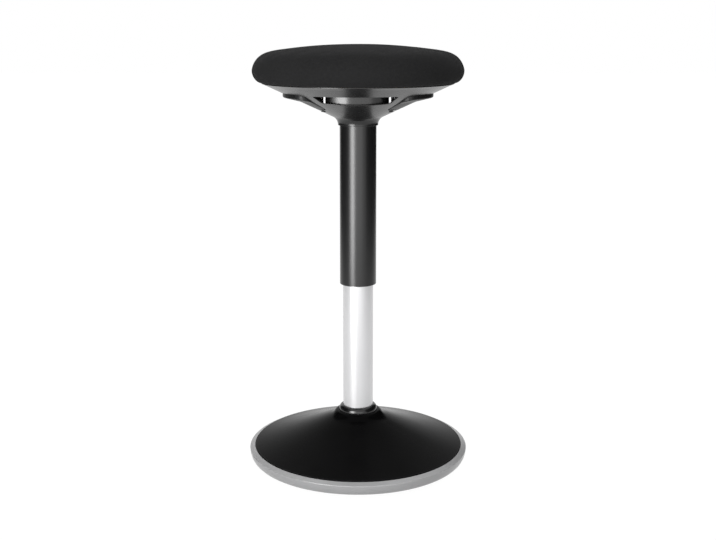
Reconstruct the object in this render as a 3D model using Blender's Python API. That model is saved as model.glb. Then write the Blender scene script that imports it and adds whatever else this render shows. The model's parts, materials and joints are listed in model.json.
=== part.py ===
"""Height-adjustable balance stool: round padded seat, gas spring column and weighted round base.

Metres, +Z up. The origin is on the floor, on the column's axis, and -Y is the front.
"""

import math

import bmesh
import bpy
from mathutils import Matrix

MM = 0.001
GAP = 0.3 * MM              # between pieces that touch
RUNNING_GAP = 0.1 * MM      # radial, between a shaft and the hole it turns or slides in

# Base
base_radius = 182 * MM
ring_width = 10 * MM        # from the ring's outer corner to the dome's edge
ring_corner_height = 29.1 * MM
ring_rise = 4.4 * MM        # the ring's top face climbs this much to the dome
ring_undercut = 4.3 * MM
ring_bottom_height = 13 * MM
ring_flange_thickness = 3 * MM
ring_chamfer = 1.2 * MM
dome_wall = 3.5 * MM
dome_top_land = 1.5 * MM    # width of the dome's flat top edge
dome_top_height = 91.8 * MM
dome_sag = 0.64             # how hollow the dome's slope is: 0 is a straight cone
sole_flat_radius = 90 * MM
sole_top_height = 16 * MM
sole_inset = 17 * MM        # from the ring's outer corner to the sole's edge
weight_inset = 34 * MM      # from the ring's outer corner to the weight's edge
weight_thickness = 14 * MM
weight_clearance = 2 * MM   # between the weight and the ring round it

# Column
column_radius = 25 * MM
column_wall = 2 * MM
column_bottom_height = 24 * MM
column_top_height = 478 * MM
column_floor = 4 * MM
collar_height = 7.2 * MM
collar_wall = 4.3 * MM
collar_flange_thickness = 1.6 * MM
socket_wall = 5.5 * MM
socket_flange_radius = 62 * MM
socket_flange_thickness = 6 * MM
socket_weld = 2 * MM
socket_clearance = 1.4 * MM  # between the socket and the dome's bore
base_screw_circle = 48 * MM
base_screw_radius = 3 * MM
guide_length = 80 * MM
guide_flange = 2.5 * MM

# Gas spring
cylinder_radius = 14 * MM
cylinder_wall = 1.2 * MM
cylinder_length = 452 * MM
cylinder_drop = 28.4 * MM   # from the seam down to its top
cylinder_end = 9 * MM       # thickness of its lower end
cylinder_head = 22 * MM     # thickness of its upper end, which holds the valve
cylinder_chamfer = 1 * MM
socket_grip = 37 * MM       # length of the taper inside the cone socket
taper_run_out = 3 * MM      # length of the taper below it
taper_narrowing = 1 * MM
rod_radius = 5 * MM
rod_shoulder_radius = 9 * MM
rod_shoulder_height = 4 * MM
piston_height = 340 * MM
piston_thickness = 14 * MM
bumper_radius = 11 * MM
bumper_length = 22 * MM
race_radius = 12 * MM
race_thickness = 2 * MM
ball_radius = 2 * MM
ball_count = 8
washer_thickness = 2.4 * MM
clip_thickness = 1.8 * MM
clip_radius = 9 * MM

# Sleeve
sleeve_clearance = 3.5 * MM  # between the column and the sleeve's inner face
sleeve_wall = 1.5 * MM
sleeve_length = 281.5 * MM
sleeve_drop = 50.4 * MM     # from the seam down to its top
sleeve_chamfer = 0.8 * MM
sleeve_bush_length = 15 * MM
sleeve_ring_length = 12 * MM

# Seat
seat_turn = math.radians(-2.2)   # how far the seat stands turned on its swivel
seat_radius = 171 * MM
seam_height = 640.4 * MM    # where cushion and bowl meet; all that hangs from the seat follows it
seam_inset = 16.5 * MM      # from the seat's widest radius to the seam
cushion_height = 61.4 * MM
cushion_side_height = 20.4 * MM  # from the seam up to the widest line
cushion_dome = 15.9 * MM         # how much of the crown is its gentle dome, the rest being the shoulder
pan_thickness = 9 * MM
pan_inset = 4 * MM          # from the seam's radius to the pan's edge
plate_radius = 78 * MM
plate_thickness = 3 * MM
plate_screw_circle = 69 * MM
plate_screw_angles = [math.radians(a) for a in (70, 110, 250, 290)]
plate_screw_radius = 2.5 * MM
plate_screw_head_radius = 5 * MM
plate_screw_head_height = 2.4 * MM
plate_screw_bite = 6 * MM   # how deep the screws go into the pan

# Bowl
bowl_depth = 73.9 * MM      # from the seam down to the point of the bowl's cone
bowl_wall = 3.3 * MM        # measured upright
rim_reach = 1 * MM          # how far the rim stands out past the seam
rim_edge = 0.6 * MM         # height of the rim's outer face
rim_width = 6.5 * MM
neck_wall = 2.6 * MM
neck_drop = 68.4 * MM       # from the seam down to the neck's bottom
neck_fillet = 14 * MM
front_window_half_angle = math.radians(33)
front_window_outer_radius = 121.9 * MM
front_window_lip = 90.4 * MM          # from the axis to the lip's middle
front_window_lip_radius = 150 * MM
side_window_half_angle = math.radians(48)
side_window_inner_radius = 68.9 * MM
side_window_outer_radius = 123.3 * MM
post_angle = math.radians(31.56)      # from the X axis
post_margin = 2.25 * MM     # between a post's boss and the side window
post_radius = 2.9 * MM
boss_radius = 5.5 * MM
boss_height = 4 * MM
rib_thickness = 3 * MM
rib_inner_radius = 57 * MM
rib_rise = 8 * MM           # height of the ribs' inner ends over the wall

# Release
paddle_gap = 1.5 * MM       # between a paddle and its window
paddle_wall = 3.2 * MM      # measured upright
paddle_bend_radius = 94.7 * MM
paddle_tip_slope = 0.25     # slope of the paddle past its bend
paddle_lip = 8 * MM         # height of its outer end
arm_half_width = 16 * MM
arm_clearance = 3.2 * MM    # over the bowl at the window's inner edge
arm_thickness = 6.5 * MM
arm_overlap = 9 * MM        # how far the arm runs over the paddle
hub_radius = 50.3 * MM
hub_wall = 4.3 * MM
hub_height = 25.5 * MM
hub_clearance = 3.5 * MM    # over the bowl
hub_chamfer = 0.8 * MM
hub_web_rise = 9 * MM       # from the hub's bottom edge up to its web
hub_web_thickness = 3 * MM
hub_boss_wall = 3.6 * MM
hub_boss_length = 12 * MM
hub_ledge_width = 4.8 * MM
hub_ledge_thickness = 3 * MM
lug_length = 18 * MM
lug_thickness = 3 * MM
paddle_screw_radius = 2 * MM
paddle_screw_head_radius = 4.5 * MM
paddle_screw_head_height = 2.2 * MM
socket_head_radius = 22 * MM
rocker_axis_rise = 8.5 * MM   # over the cylinder's top
rocker_axis_inset = 4.4 * MM  # from the socket's outside to the rockers' pins
rocker_thickness = 5 * MM
rocker_width = 8 * MM
rocker_side_gap = 0.6 * MM    # in its slot
rocker_hub_gap = 1.5 * MM     # from its outer end to the hub's wall
rocker_nose_gap = 1 * MM      # between the two rockers' inner ends
rocker_boss = 1.3 * MM        # how much thicker a rocker is at its pin
rocker_pin_radius = 2 * MM
valve_pin_radius = 3 * MM
valve_travel = 3 * MM
valve_pin_length = 14.5 * MM

# Facets round a full turn
FINE = 48
COARSE = 32
HIDDEN = 24
SMALL = 16
TINY = 10


# Materials

def material(name, colour, roughness, metallic=0.0):
    made = bpy.data.materials.new(name)
    made.use_nodes = True
    shader = made.node_tree.nodes["Principled BSDF"]
    shader.inputs["Base Color"].default_value = (*colour, 1)
    shader.inputs["Roughness"].default_value = roughness
    shader.inputs["Metallic"].default_value = metallic
    made.diffuse_color = (*colour, 1)
    return made


LOOKS = {
    "fabric": ((0.022, 0.022, 0.024), 0.95, 0.0),
    "black_plastic": ((0.035, 0.035, 0.037), 0.42, 0.0),
    "gloss_plastic": ((0.02, 0.02, 0.022), 0.18, 0.0),
    "grey_plastic": ((0.42, 0.42, 0.42), 0.5, 0.0),
    "rubber": ((0.02, 0.02, 0.02), 0.85, 0.0),
    "black_paint": ((0.015, 0.015, 0.016), 0.35, 0.3),
    "silver_paint": ((0.78, 0.78, 0.8), 0.25, 0.9),
    "steel": ((0.55, 0.55, 0.56), 0.35, 1.0),
    "zinc": ((0.75, 0.75, 0.77), 0.3, 1.0),
    "cast_iron": ((0.08, 0.08, 0.085), 0.7, 0.6),
    "plywood": ((0.5, 0.36, 0.2), 0.7, 0.0),
    "nylon": ((0.8, 0.8, 0.76), 0.5, 0.0),
}


# Building blocks

def add_object(name, bm, look, parent=None, helper=False):
    """Turns a bmesh into an object, closed and facing out, with its own material."""
    bmesh.ops.recalc_face_normals(bm, faces=bm.faces)
    mesh = bpy.data.meshes.new(name)
    bm.to_mesh(mesh)
    bm.free()
    mesh.shade_smooth()
    mesh.set_sharp_from_angle(angle=math.radians(32))
    made = bpy.data.objects.new(name, mesh)
    bpy.context.scene.collection.objects.link(made)
    made.parent = parent
    if helper:
        made.hide_render = True
        made.display_type = "WIRE"
    else:
        mesh.materials.append(material(name, *LOOKS[look]))
    return made


def turned_mesh(profile, steps, closed):
    """Spins (radius, height) points round Z. An open profile starts and ends on the axis."""
    bm = bmesh.new()
    points = [bm.verts.new((radius, 0, height)) for radius, height in profile]
    pairs = list(zip(points, points[1:]))
    if closed:
        pairs.append((points[-1], points[0]))
    edges = [bm.edges.new(pair) for pair in pairs]
    bmesh.ops.spin(
        bm, geom=points + edges, cent=(0, 0, 0), axis=(0, 0, 1), angle=math.tau, steps=steps,
    )
    bmesh.ops.remove_doubles(bm, verts=bm.verts, dist=1e-6)
    return bm


def turned(name, profile, look, parent=None, steps=FINE, closed=True, helper=False):
    return add_object(name, turned_mesh(profile, steps, closed), look, parent, helper)


def tube(name, inner, outer, bottom, top, look, parent=None, steps=FINE, helper=False):
    profile = [(inner, bottom), (outer, bottom), (outer, top), (inner, top)]
    return turned(name, profile, look, parent, steps, helper=helper)


def rod(name, radius, bottom, top, look, parent=None, steps=COARSE, helper=False):
    profile = [(0, bottom), (radius, bottom), (radius, top), (0, top)]
    return turned(name, profile, look, parent, steps, closed=False, helper=helper)


def prism_mesh(outline, bottom, top):
    """Extrudes a plan outline of (x, y) points upwards."""
    bm = bmesh.new()
    face = bm.faces.new([bm.verts.new((x, y, bottom)) for x, y in outline])
    upper = bmesh.ops.extrude_face_region(bm, geom=[face])["geom"]
    moved = [item for item in upper if isinstance(item, bmesh.types.BMVert)]
    bmesh.ops.translate(bm, verts=moved, vec=(0, 0, top - bottom))
    return bm


def prism(name, outline, bottom, top, look=None, parent=None, helper=False):
    return add_object(name, prism_mesh(outline, bottom, top), look, parent, helper)


def block(name, low, high, look=None, parent=None, helper=False):
    outline = [(low[0], low[1]), (high[0], low[1]), (high[0], high[1]), (low[0], high[1])]
    return prism(name, outline, low[2], high[2], look, parent, helper)


def boolean(target, tool, operation):
    modifier = target.modifiers.new(operation.title() + " " + tool.name, "BOOLEAN")
    modifier.operation = operation
    modifier.solver = "EXACT"
    modifier.object = tool


def cut(target, tool):
    boolean(target, tool, "DIFFERENCE")


def fuse(target, tool):
    boolean(target, tool, "UNION")


def arc(centre, radius, start, end, steps):
    """Points of an arc, from one angle to another in steps, both ends included."""
    angles = [start + (end - start) * i / steps for i in range(steps + 1)]
    return [(centre[0] + radius * math.cos(a), centre[1] + radius * math.sin(a)) for a in angles]


def polar(radius, angle):
    return radius * math.cos(angle), radius * math.sin(angle)


def place(obj, x=0.0, y=0.0, z=0.0, turn=0.0):
    obj.location = (x, y, z)
    obj.rotation_euler = (0, 0, turn)
    return obj


def pivot(name, parent=None, location=(0, 0, 0), turn=0.0):
    """An empty on a joint's axis, which carries the pieces that move with it."""
    made = bpy.data.objects.new(name, None)
    made.location = location
    made.rotation_euler = (0, 0, turn)
    made.parent = parent
    bpy.context.scene.collection.objects.link(made)
    return made


def screw(name, shank_radius, head_radius, head_height, shank_length, look, parent):
    """A pan-head screw whose head rests at z = 0 and whose shank points up."""
    profile = [
        (0, -head_height),
        (head_radius * 0.7, -head_height),
        (head_radius, -head_height * 0.45),
        (head_radius, 0),
        (shank_radius, 0),
        (shank_radius, shank_length),
        (0, shank_length),
    ]
    return turned(name, profile, look, parent, steps=TINY, closed=False)


# Base

dome_edge_radius = base_radius - ring_width
dome_edge_height = ring_corner_height + ring_rise
sole_recess_radius = base_radius - sole_inset
weight_radius = base_radius - weight_inset
weight_bottom_height = sole_top_height + GAP
weight_top_height = weight_bottom_height + weight_thickness
socket_inner_radius = column_radius + GAP
socket_outer_radius = socket_inner_radius + socket_wall
dome_bore_radius = socket_outer_radius + socket_clearance
dome_top_radius = dome_bore_radius + dome_top_land
socket_flange_height = weight_top_height + GAP
socket_top_height = dome_top_height - 2.5 * MM
ring_ledge_height = sole_top_height + GAP + ring_flange_thickness


def dome_height(radius):
    """Height of the dome's outer slope: a straight fall, hollowed towards the column."""
    along = (radius - dome_top_radius) / (dome_edge_radius - dome_top_radius)
    straight = dome_top_height + (dome_edge_height - dome_top_height) * along
    hollow = dome_sag * (dome_top_height - dome_edge_height)
    return straight - hollow * along * (1 - along) ** 1.6


def make_base():
    slope_steps = 7
    radii = [
        dome_top_radius + (dome_edge_radius - dome_top_radius) * (i / slope_steps) ** 1.35
        for i in range(slope_steps + 1)
    ]
    outside = [(radius, dome_height(radius)) for radius in radii]
    inside = [(radius - 1.2 * MM, dome_height(radius) - dome_wall) for radius in radii[1:-1:2]]
    lip_bottom = ring_ledge_height + GAP
    dome = outside + [(dome_edge_radius, lip_bottom), (dome_edge_radius - dome_wall, lip_bottom)]
    dome += [(dome_edge_radius - dome_wall, dome_edge_height - dome_wall)]
    dome += list(reversed(inside))
    dome += [(dome_bore_radius, dome_top_height - dome_wall - 2 * MM)]
    dome += [(dome_bore_radius, dome_top_height)]
    turned("base_dome", dome, "black_plastic", steps=FINE)

    seat = dome_edge_radius + GAP
    shelf = weight_radius + weight_clearance
    foot = base_radius - ring_undercut
    ring = [
        (seat, dome_edge_height + 0.1 * MM),
        (seat + ring_chamfer, dome_edge_height),
        (base_radius - ring_chamfer, ring_corner_height + ring_chamfer / 2),
        (base_radius, ring_corner_height - ring_chamfer * 2 / 3),
        (foot, ring_bottom_height + ring_chamfer),
        (foot - ring_chamfer, ring_bottom_height),
        (sole_recess_radius, ring_bottom_height - ring_chamfer / 2),
        (sole_recess_radius, sole_top_height + GAP),
        (shelf, sole_top_height + GAP),
        (shelf, ring_ledge_height),
        (seat, ring_ledge_height),
    ]
    turned("base_ring", ring, "grey_plastic", steps=FINE)

    sole_radius = sole_recess_radius - GAP
    sole_side = ring_bottom_height - ring_chamfer / 2 - 1 * MM
    curve_steps = 4
    rocker_curve = []
    for i in range(curve_steps + 1):
        along = i / curve_steps
        radius = sole_flat_radius + (sole_radius - sole_flat_radius) * along
        rocker_curve.append((radius, sole_side * along ** 1.7))
    sole = [(0, 0)] + rocker_curve + [(sole_radius, sole_top_height), (0, sole_top_height)]
    turned("base_sole", sole, "rubber", steps=FINE, closed=False)

    weight = tube(
        "base_weight", socket_outer_radius + GAP, weight_radius,
        weight_bottom_height, weight_top_height, "cast_iron", steps=HIDDEN,
    )
    socket_flange_top = socket_flange_height + socket_flange_thickness
    socket = turned(
        "column_socket",
        [
            (socket_inner_radius, weight_bottom_height),
            (socket_outer_radius, weight_bottom_height),
            (socket_outer_radius, socket_flange_height),
            (socket_flange_radius, socket_flange_height),
            (socket_flange_radius, socket_flange_top),
            (socket_outer_radius + socket_weld, socket_flange_top),
            (socket_outer_radius, socket_flange_top + socket_weld),
            (socket_outer_radius, socket_top_height),
            (socket_inner_radius, socket_top_height),
        ],
        "steel", steps=HIDDEN,
    )
    head_height = 3 * MM
    head_seat = socket_flange_top + GAP
    shank = socket_flange_thickness + weight_thickness * 0.6
    for number in range(4):
        x, y = polar(base_screw_circle, math.radians(45 + 90 * number))
        made = screw(
            f"base_screw_{number + 1}", base_screw_radius, base_screw_radius * 1.8,
            head_height, shank, "zinc", None,
        )
        made.location = (x, y, head_seat)
        made.rotation_euler = (math.pi, 0, 0)
        hole_bottom = head_seat - shank - GAP
        for target in (weight, socket):
            hole = rod(
                f"hole_{number + 1}_in_{target.name}", base_screw_radius + GAP,
                hole_bottom, head_seat + GAP, None, steps=TINY, helper=True,
            )
            cut(target, place(hole, x, y))


# Column

bearing_bottom_height = column_bottom_height + column_floor + GAP
ball_middle_height = bearing_bottom_height + race_thickness + GAP + ball_radius
upper_race_height = ball_middle_height + ball_radius + GAP
rod_shoulder_bottom = upper_race_height + race_thickness + GAP
rod_bore_radius = rod_radius + GAP


def make_column():
    inside = column_radius - column_wall
    floor_top = column_bottom_height + column_floor
    turned(
        "column_tube",
        [
            (rod_bore_radius + 1 * MM, column_bottom_height),
            (column_radius, column_bottom_height),
            (column_radius, column_top_height),
            (inside, column_top_height),
            (inside, floor_top),
            (rod_bore_radius + 1 * MM, floor_top),
        ],
        "silver_paint",
    )
    collar_bottom = dome_top_height + GAP
    collar_inner = column_radius + GAP
    collar_outer = column_radius + collar_wall
    collar_top = collar_bottom + collar_height
    flange_top = collar_bottom + collar_flange_thickness
    turned(
        "column_collar",
        [
            (collar_inner, collar_bottom),
            (dome_top_radius + 0.6 * MM, collar_bottom),
            (dome_top_radius - 0.6 * MM, flange_top),
            (collar_outer + 3.2 * MM, collar_bottom + collar_height * 0.46),
            (collar_outer + 1.3 * MM, collar_bottom + collar_height * 0.75),
            (collar_outer - 0.4 * MM, collar_bottom + collar_height * 0.92),
            (collar_outer - 1.5 * MM, collar_top),
            (collar_inner, collar_top),
        ],
        "gloss_plastic", steps=COARSE,
    )
    guide_top = column_top_height + GAP + guide_flange
    turned(
        "guide_bush",
        [
            (cylinder_radius + RUNNING_GAP, column_top_height - guide_length),
            (inside - GAP, column_top_height - guide_length),
            (inside - GAP, column_top_height + GAP),
            (column_radius - 0.2 * MM, column_top_height + GAP),
            (column_radius - 0.2 * MM, guide_top),
            (cylinder_radius + RUNNING_GAP, guide_top),
        ],
        "nylon", steps=COARSE,
    )
    tube(
        "bearing_lower_race", rod_bore_radius, race_radius,
        bearing_bottom_height, bearing_bottom_height + race_thickness, "steel", steps=SMALL,
    )
    make_ball_cage()


def make_ball_cage():
    circle = (rod_bore_radius + race_radius) / 2
    half = ball_radius * 0.5
    cage = tube(
        "ball_cage", rod_bore_radius + 0.3 * MM, race_radius - 0.3 * MM,
        ball_middle_height - half, ball_middle_height + half, "steel", steps=SMALL,
    )
    for number in range(ball_count):
        bm = bmesh.new()
        bmesh.ops.create_uvsphere(bm, u_segments=8, v_segments=6, radius=ball_radius)
        ball = add_object(f"ball_{number + 1}", bm, None, helper=True)
        x, y = polar(circle, math.tau * number / ball_count)
        ball.location = (x, y, ball_middle_height)
        fuse(cage, ball)


# Gas spring rod, which turns with the seat

def make_rod(swivel):
    clip_top = column_bottom_height - GAP - washer_thickness - GAP
    clip_bottom = clip_top - clip_thickness
    groove = rod_radius - 1 * MM
    piston_bottom = piston_height - piston_thickness / 2
    turned(
        "piston_rod",
        [
            (0, clip_bottom - 1 * MM),
            (rod_radius, clip_bottom - 1 * MM),
            (rod_radius, clip_bottom - 0.2 * MM),
            (groove, clip_bottom - 0.2 * MM),
            (groove, clip_top + 0.2 * MM),
            (rod_radius, clip_top + 0.2 * MM),
            (rod_radius, rod_shoulder_bottom),
            (rod_shoulder_radius, rod_shoulder_bottom),
            (rod_shoulder_radius, rod_shoulder_bottom + rod_shoulder_height),
            (rod_radius, rod_shoulder_bottom + rod_shoulder_height),
            (rod_radius, piston_bottom - GAP),
            (groove, piston_bottom - GAP),
            (groove, piston_bottom + piston_thickness + GAP),
            (rod_radius, piston_bottom + piston_thickness + GAP),
            (rod_radius, piston_bottom + piston_thickness + 3 * MM),
            (0, piston_bottom + piston_thickness + 3 * MM),
        ],
        "zinc", swivel, SMALL, closed=False,
    )
    bore = cylinder_radius - cylinder_wall - GAP
    rim = 3 * MM
    turned(
        "piston",
        [
            (groove + GAP, piston_bottom),
            (bore, piston_bottom),
            (bore, piston_bottom + rim),
            (bore - 1.5 * MM, piston_bottom + rim),
            (bore - 1.5 * MM, piston_bottom + piston_thickness - rim),
            (bore, piston_bottom + piston_thickness - rim),
            (bore, piston_bottom + piston_thickness),
            (groove + GAP, piston_bottom + piston_thickness),
        ],
        "steel", swivel, SMALL,
    )
    tube(
        "bearing_upper_race", rod_bore_radius, race_radius,
        upper_race_height, upper_race_height + race_thickness, "steel", swivel, SMALL,
    )
    bumper_bottom = rod_shoulder_bottom + rod_shoulder_height + GAP
    turned(
        "rod_bumper",
        [
            (rod_bore_radius, bumper_bottom),
            (bumper_radius, bumper_bottom),
            (bumper_radius, bumper_bottom + bumper_length * 0.4),
            (bumper_radius - 1.5 * MM, bumper_bottom + bumper_length * 0.5),
            (bumper_radius, bumper_bottom + bumper_length * 0.6),
            (bumper_radius - 1.5 * MM, bumper_bottom + bumper_length),
            (rod_bore_radius, bumper_bottom + bumper_length),
        ],
        "rubber", swivel, SMALL,
    )
    tube(
        "rod_washer", rod_bore_radius, race_radius,
        clip_top + GAP, clip_top + GAP + washer_thickness, "zinc", swivel, SMALL,
    )
    opening = math.radians(28)
    inner = groove + GAP
    outline = arc((0, 0), inner, opening, math.tau - opening, 22)
    outline += arc((0, 0), clip_radius, math.tau - opening, opening, 22)
    prism("rod_clip", outline, clip_bottom, clip_top, "steel", swivel)


# Seat

sleeve_inner_radius = column_radius + sleeve_clearance
sleeve_radius = sleeve_inner_radius + sleeve_wall
neck_bore_radius = sleeve_radius + GAP + RUNNING_GAP
neck_radius = neck_bore_radius + neck_wall
seat_top_height = seam_height + cushion_height
seat_widest_height = seam_height + cushion_side_height
seam_radius = seat_radius - seam_inset
bowl_rim_radius = seam_radius + rim_reach
bowl_inner_rim_radius = bowl_rim_radius - rim_width
bowl_slope = (bowl_depth - rim_edge) / bowl_rim_radius
neck_bottom_height = seam_height - neck_drop
plate_bottom_height = seam_height - plate_thickness
pan_bottom_height = seam_height + GAP
pan_radius = seam_radius - pan_inset
sleeve_top_height = seam_height - sleeve_drop
sleeve_bottom_height = sleeve_top_height - sleeve_length
cylinder_top_height = seam_height - cylinder_drop
cylinder_bottom_height = cylinder_top_height - cylinder_length
taper_length = socket_grip + taper_run_out
taper_top_radius = cylinder_radius - taper_narrowing
cone_socket_bottom_height = cylinder_top_height - socket_grip
cone_socket_top_height = plate_bottom_height - GAP
rocker_axis_height = cylinder_top_height + rocker_axis_rise
rocker_axis_offset = socket_head_radius - rocker_axis_inset
rocker_bottom_height = rocker_axis_height - rocker_thickness / 2
post_circle = side_window_inner_radius - post_margin - boss_radius


def cone_height(radius):
    """Height of the bowl's outer cone."""
    return seam_height - bowl_depth + bowl_slope * radius


def bowl_inner_height(radius):
    return cone_height(radius) + bowl_wall


hub_bottom_height = bowl_inner_height(hub_radius) + hub_clearance
hub_top_height = hub_bottom_height + hub_height
arm_bottom_height = bowl_inner_height(side_window_inner_radius) + arm_clearance


def make_cushion(swivel):
    """Foam and cover: a gently domed top, a round shoulder and drawn-in sides, over the pan."""
    shoulder = seat_top_height - seat_widest_height - cushion_dome
    tuck = seat_widest_height - pan_bottom_height
    top_steps = 11
    side_steps = 5
    profile = [(0, seat_top_height)]
    for i in range(1, top_steps + 1):
        out = 1 - (1 - i / top_steps) ** 2.4
        rise = cushion_dome * (1 - out ** 2) + shoulder * (1 - out ** 15.6) ** 0.7
        profile.append((seat_radius * out, seat_widest_height + rise))
    for i in range(1, side_steps + 1):
        angle = math.pi / 2 * i / side_steps
        radius = seam_radius + (seat_radius - seam_radius) * math.cos(angle)
        profile.append((radius, seat_widest_height - tuck * math.sin(angle)))
    recess_top = pan_bottom_height + pan_thickness + GAP
    profile += [
        (pan_radius + GAP, pan_bottom_height),
        (pan_radius + GAP, recess_top),
        (0, recess_top),
    ]
    turned("seat_cushion", profile, "fabric", swivel, FINE, closed=False)


def make_pan(swivel):
    pan = rod(
        "seat_pan", pan_radius, pan_bottom_height, pan_bottom_height + pan_thickness,
        "plywood", swivel, FINE,
    )
    plate = tube(
        "mounting_plate", valve_pin_radius + 1 * MM, plate_radius,
        plate_bottom_height, seam_height, "steel", swivel, HIDDEN,
    )
    shank = plate_thickness + GAP + plate_screw_bite
    for number, angle in enumerate(plate_screw_angles):
        x, y = polar(plate_screw_circle, angle)
        made = screw(
            f"plate_screw_{number + 1}", plate_screw_radius, plate_screw_head_radius,
            plate_screw_head_height, shank, "zinc", swivel,
        )
        place(made, x, y, plate_bottom_height - GAP)
        for target in (pan, plate):
            hole = rod(
                f"hole_{number + 1}_in_{target.name}", plate_screw_radius + GAP,
                plate_bottom_height - 1 * MM, plate_bottom_height + shank + GAP,
                None, swivel, TINY, helper=True,
            )
            cut(target, place(hole, x, y))


def window_outline():
    """Plan of the front window, which faces -Y: a long outer arc, radial ends and a flatter inner lip."""
    half = front_window_half_angle
    down = -math.pi / 2
    outline = arc((0, 0), front_window_outer_radius, down - half, down + half, 9)
    lip_centre = front_window_lip_radius - front_window_lip
    end_x, end_y = lip_end(half, lip_centre)
    lip_half = math.atan2(end_x, lip_centre - end_y)
    outline += arc((0, lip_centre), front_window_lip_radius, down + lip_half, down - lip_half, 6)
    return outline


def lip_end(half, lip_centre):
    """Where the window's radial end meets the lip's arc."""
    along = lip_centre * math.cos(half)
    rest = math.sqrt(front_window_lip_radius ** 2 - (lip_centre * math.sin(half)) ** 2)
    radius = rest - along
    return radius * math.sin(half), -radius * math.cos(half)


def sector_outline(inner, outer, half_angle, inset, steps=12):
    """Plan of a sector round +X whose radial sides are moved in by inset."""
    outer_half = half_angle - math.asin(inset / outer)
    inner_half = half_angle - math.asin(inset / inner)
    outline = arc((0, 0), outer, -outer_half, outer_half, steps)
    outline += arc((0, 0), inner, inner_half, -inner_half, steps // 2)
    return outline


def make_bowl(swivel):
    """Moulded under-seat bowl: neck, fillet, straight cone and rim, with four windows."""
    slope_angle = math.atan(bowl_slope)
    neck_bore = neck_bore_radius
    touch_radius = neck_radius + neck_fillet * (1 - math.sin(slope_angle))
    fillet_height = cone_height(touch_radius) - neck_fillet * math.cos(slope_angle)
    fillet = arc(
        (neck_radius + neck_fillet, fillet_height), neck_fillet,
        math.pi, math.pi / 2 + slope_angle, 5,
    )
    inner_rim = bowl_inner_rim_radius
    profile = [
        (neck_bore, neck_bottom_height),
        (neck_radius - 0.4 * MM, neck_bottom_height),
    ]
    profile += fillet
    profile += [
        (bowl_rim_radius, cone_height(bowl_rim_radius)),
        (bowl_rim_radius, seam_height),
        (inner_rim, seam_height),
        (inner_rim, min(bowl_inner_height(inner_rim), seam_height - 0.5 * MM)),
        (neck_bore + 3 * MM, bowl_inner_height(neck_bore + 3 * MM)),
        (neck_bore, bowl_inner_height(neck_bore) - 1 * MM),
    ]
    bowl = turned("seat_bowl", profile, "black_plastic", swivel, steps=FINE)

    below, above = neck_bottom_height, seam_height - 2 * MM
    for name, turn in (("front", 0.0), ("back", math.pi)):
        window = prism(f"{name}_window", window_outline(), below, above, parent=swivel, helper=True)
        cut(bowl, place(window, turn=turn))
    side = sector_outline(
        side_window_inner_radius, side_window_outer_radius, side_window_half_angle, 0,
    )
    for name, turn in (("right", 0.0), ("left", math.pi)):
        window = prism(f"{name}_window", side, below, above, parent=swivel, helper=True)
        cut(bowl, place(window, turn=turn))
    add_ribs(bowl, swivel)
    add_posts(bowl, swivel)


def add_ribs(bowl, swivel):
    """A radial rib inside each of the four arms between the windows."""
    inner_rim = bowl_inner_rim_radius
    middle = (front_window_half_angle + math.pi / 2 - side_window_half_angle) / 2
    root = bowl_wall / 2
    side_view = [
        (rib_inner_radius, cone_height(rib_inner_radius) + root),
        (inner_rim, cone_height(inner_rim) + root),
        (inner_rim, seam_height - 0.5 * MM),
        (rib_inner_radius, bowl_inner_height(rib_inner_radius) + rib_rise),
    ]
    for number in range(4):
        side = 1 if number % 2 else -1
        turn = -math.pi / 2 + side * middle + math.pi * (number // 2)
        bm = prism_mesh(side_view, -rib_thickness / 2, rib_thickness / 2)
        upright = Matrix.Rotation(math.pi / 2, 3, "X")
        bmesh.ops.rotate(bm, verts=bm.verts, cent=(0, 0, 0), matrix=upright)
        rib = add_object(f"rib_{number + 1}", bm, None, swivel, helper=True)
        fuse(bowl, place(rib, turn=turn))


def add_posts(bowl, swivel):
    """Bright posts between the bowl and the mounting plate, each on a moulded boss."""
    boss_top = bowl_inner_height(post_circle) + boss_height
    boss_bottom = cone_height(post_circle - 2 * boss_radius)
    reach = post_circle + 2 * boss_radius
    root = bowl_wall / 2
    under = turned(
        "under_bosses",
        [
            (0, neck_bottom_height),
            (reach, neck_bottom_height),
            (reach, cone_height(reach) + root),
            (0, cone_height(0) + root),
        ],
        None, swivel, FINE, closed=False, helper=True,
    )
    angles = [math.pi - post_angle, math.pi + post_angle, post_angle, -post_angle]
    for number, angle in enumerate(angles):
        x, y = polar(post_circle, angle)
        boss = rod(
            f"boss_{number + 1}", boss_radius, boss_bottom, boss_top,
            None, swivel, TINY, helper=True,
        )
        cut(place(boss, x, y), under)
        fuse(bowl, boss)
        post = rod(
            f"seat_post_{number + 1}", post_radius, boss_top + GAP, plate_bottom_height - GAP,
            "zinc", swivel, TINY,
        )
        place(post, x, y)


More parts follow.
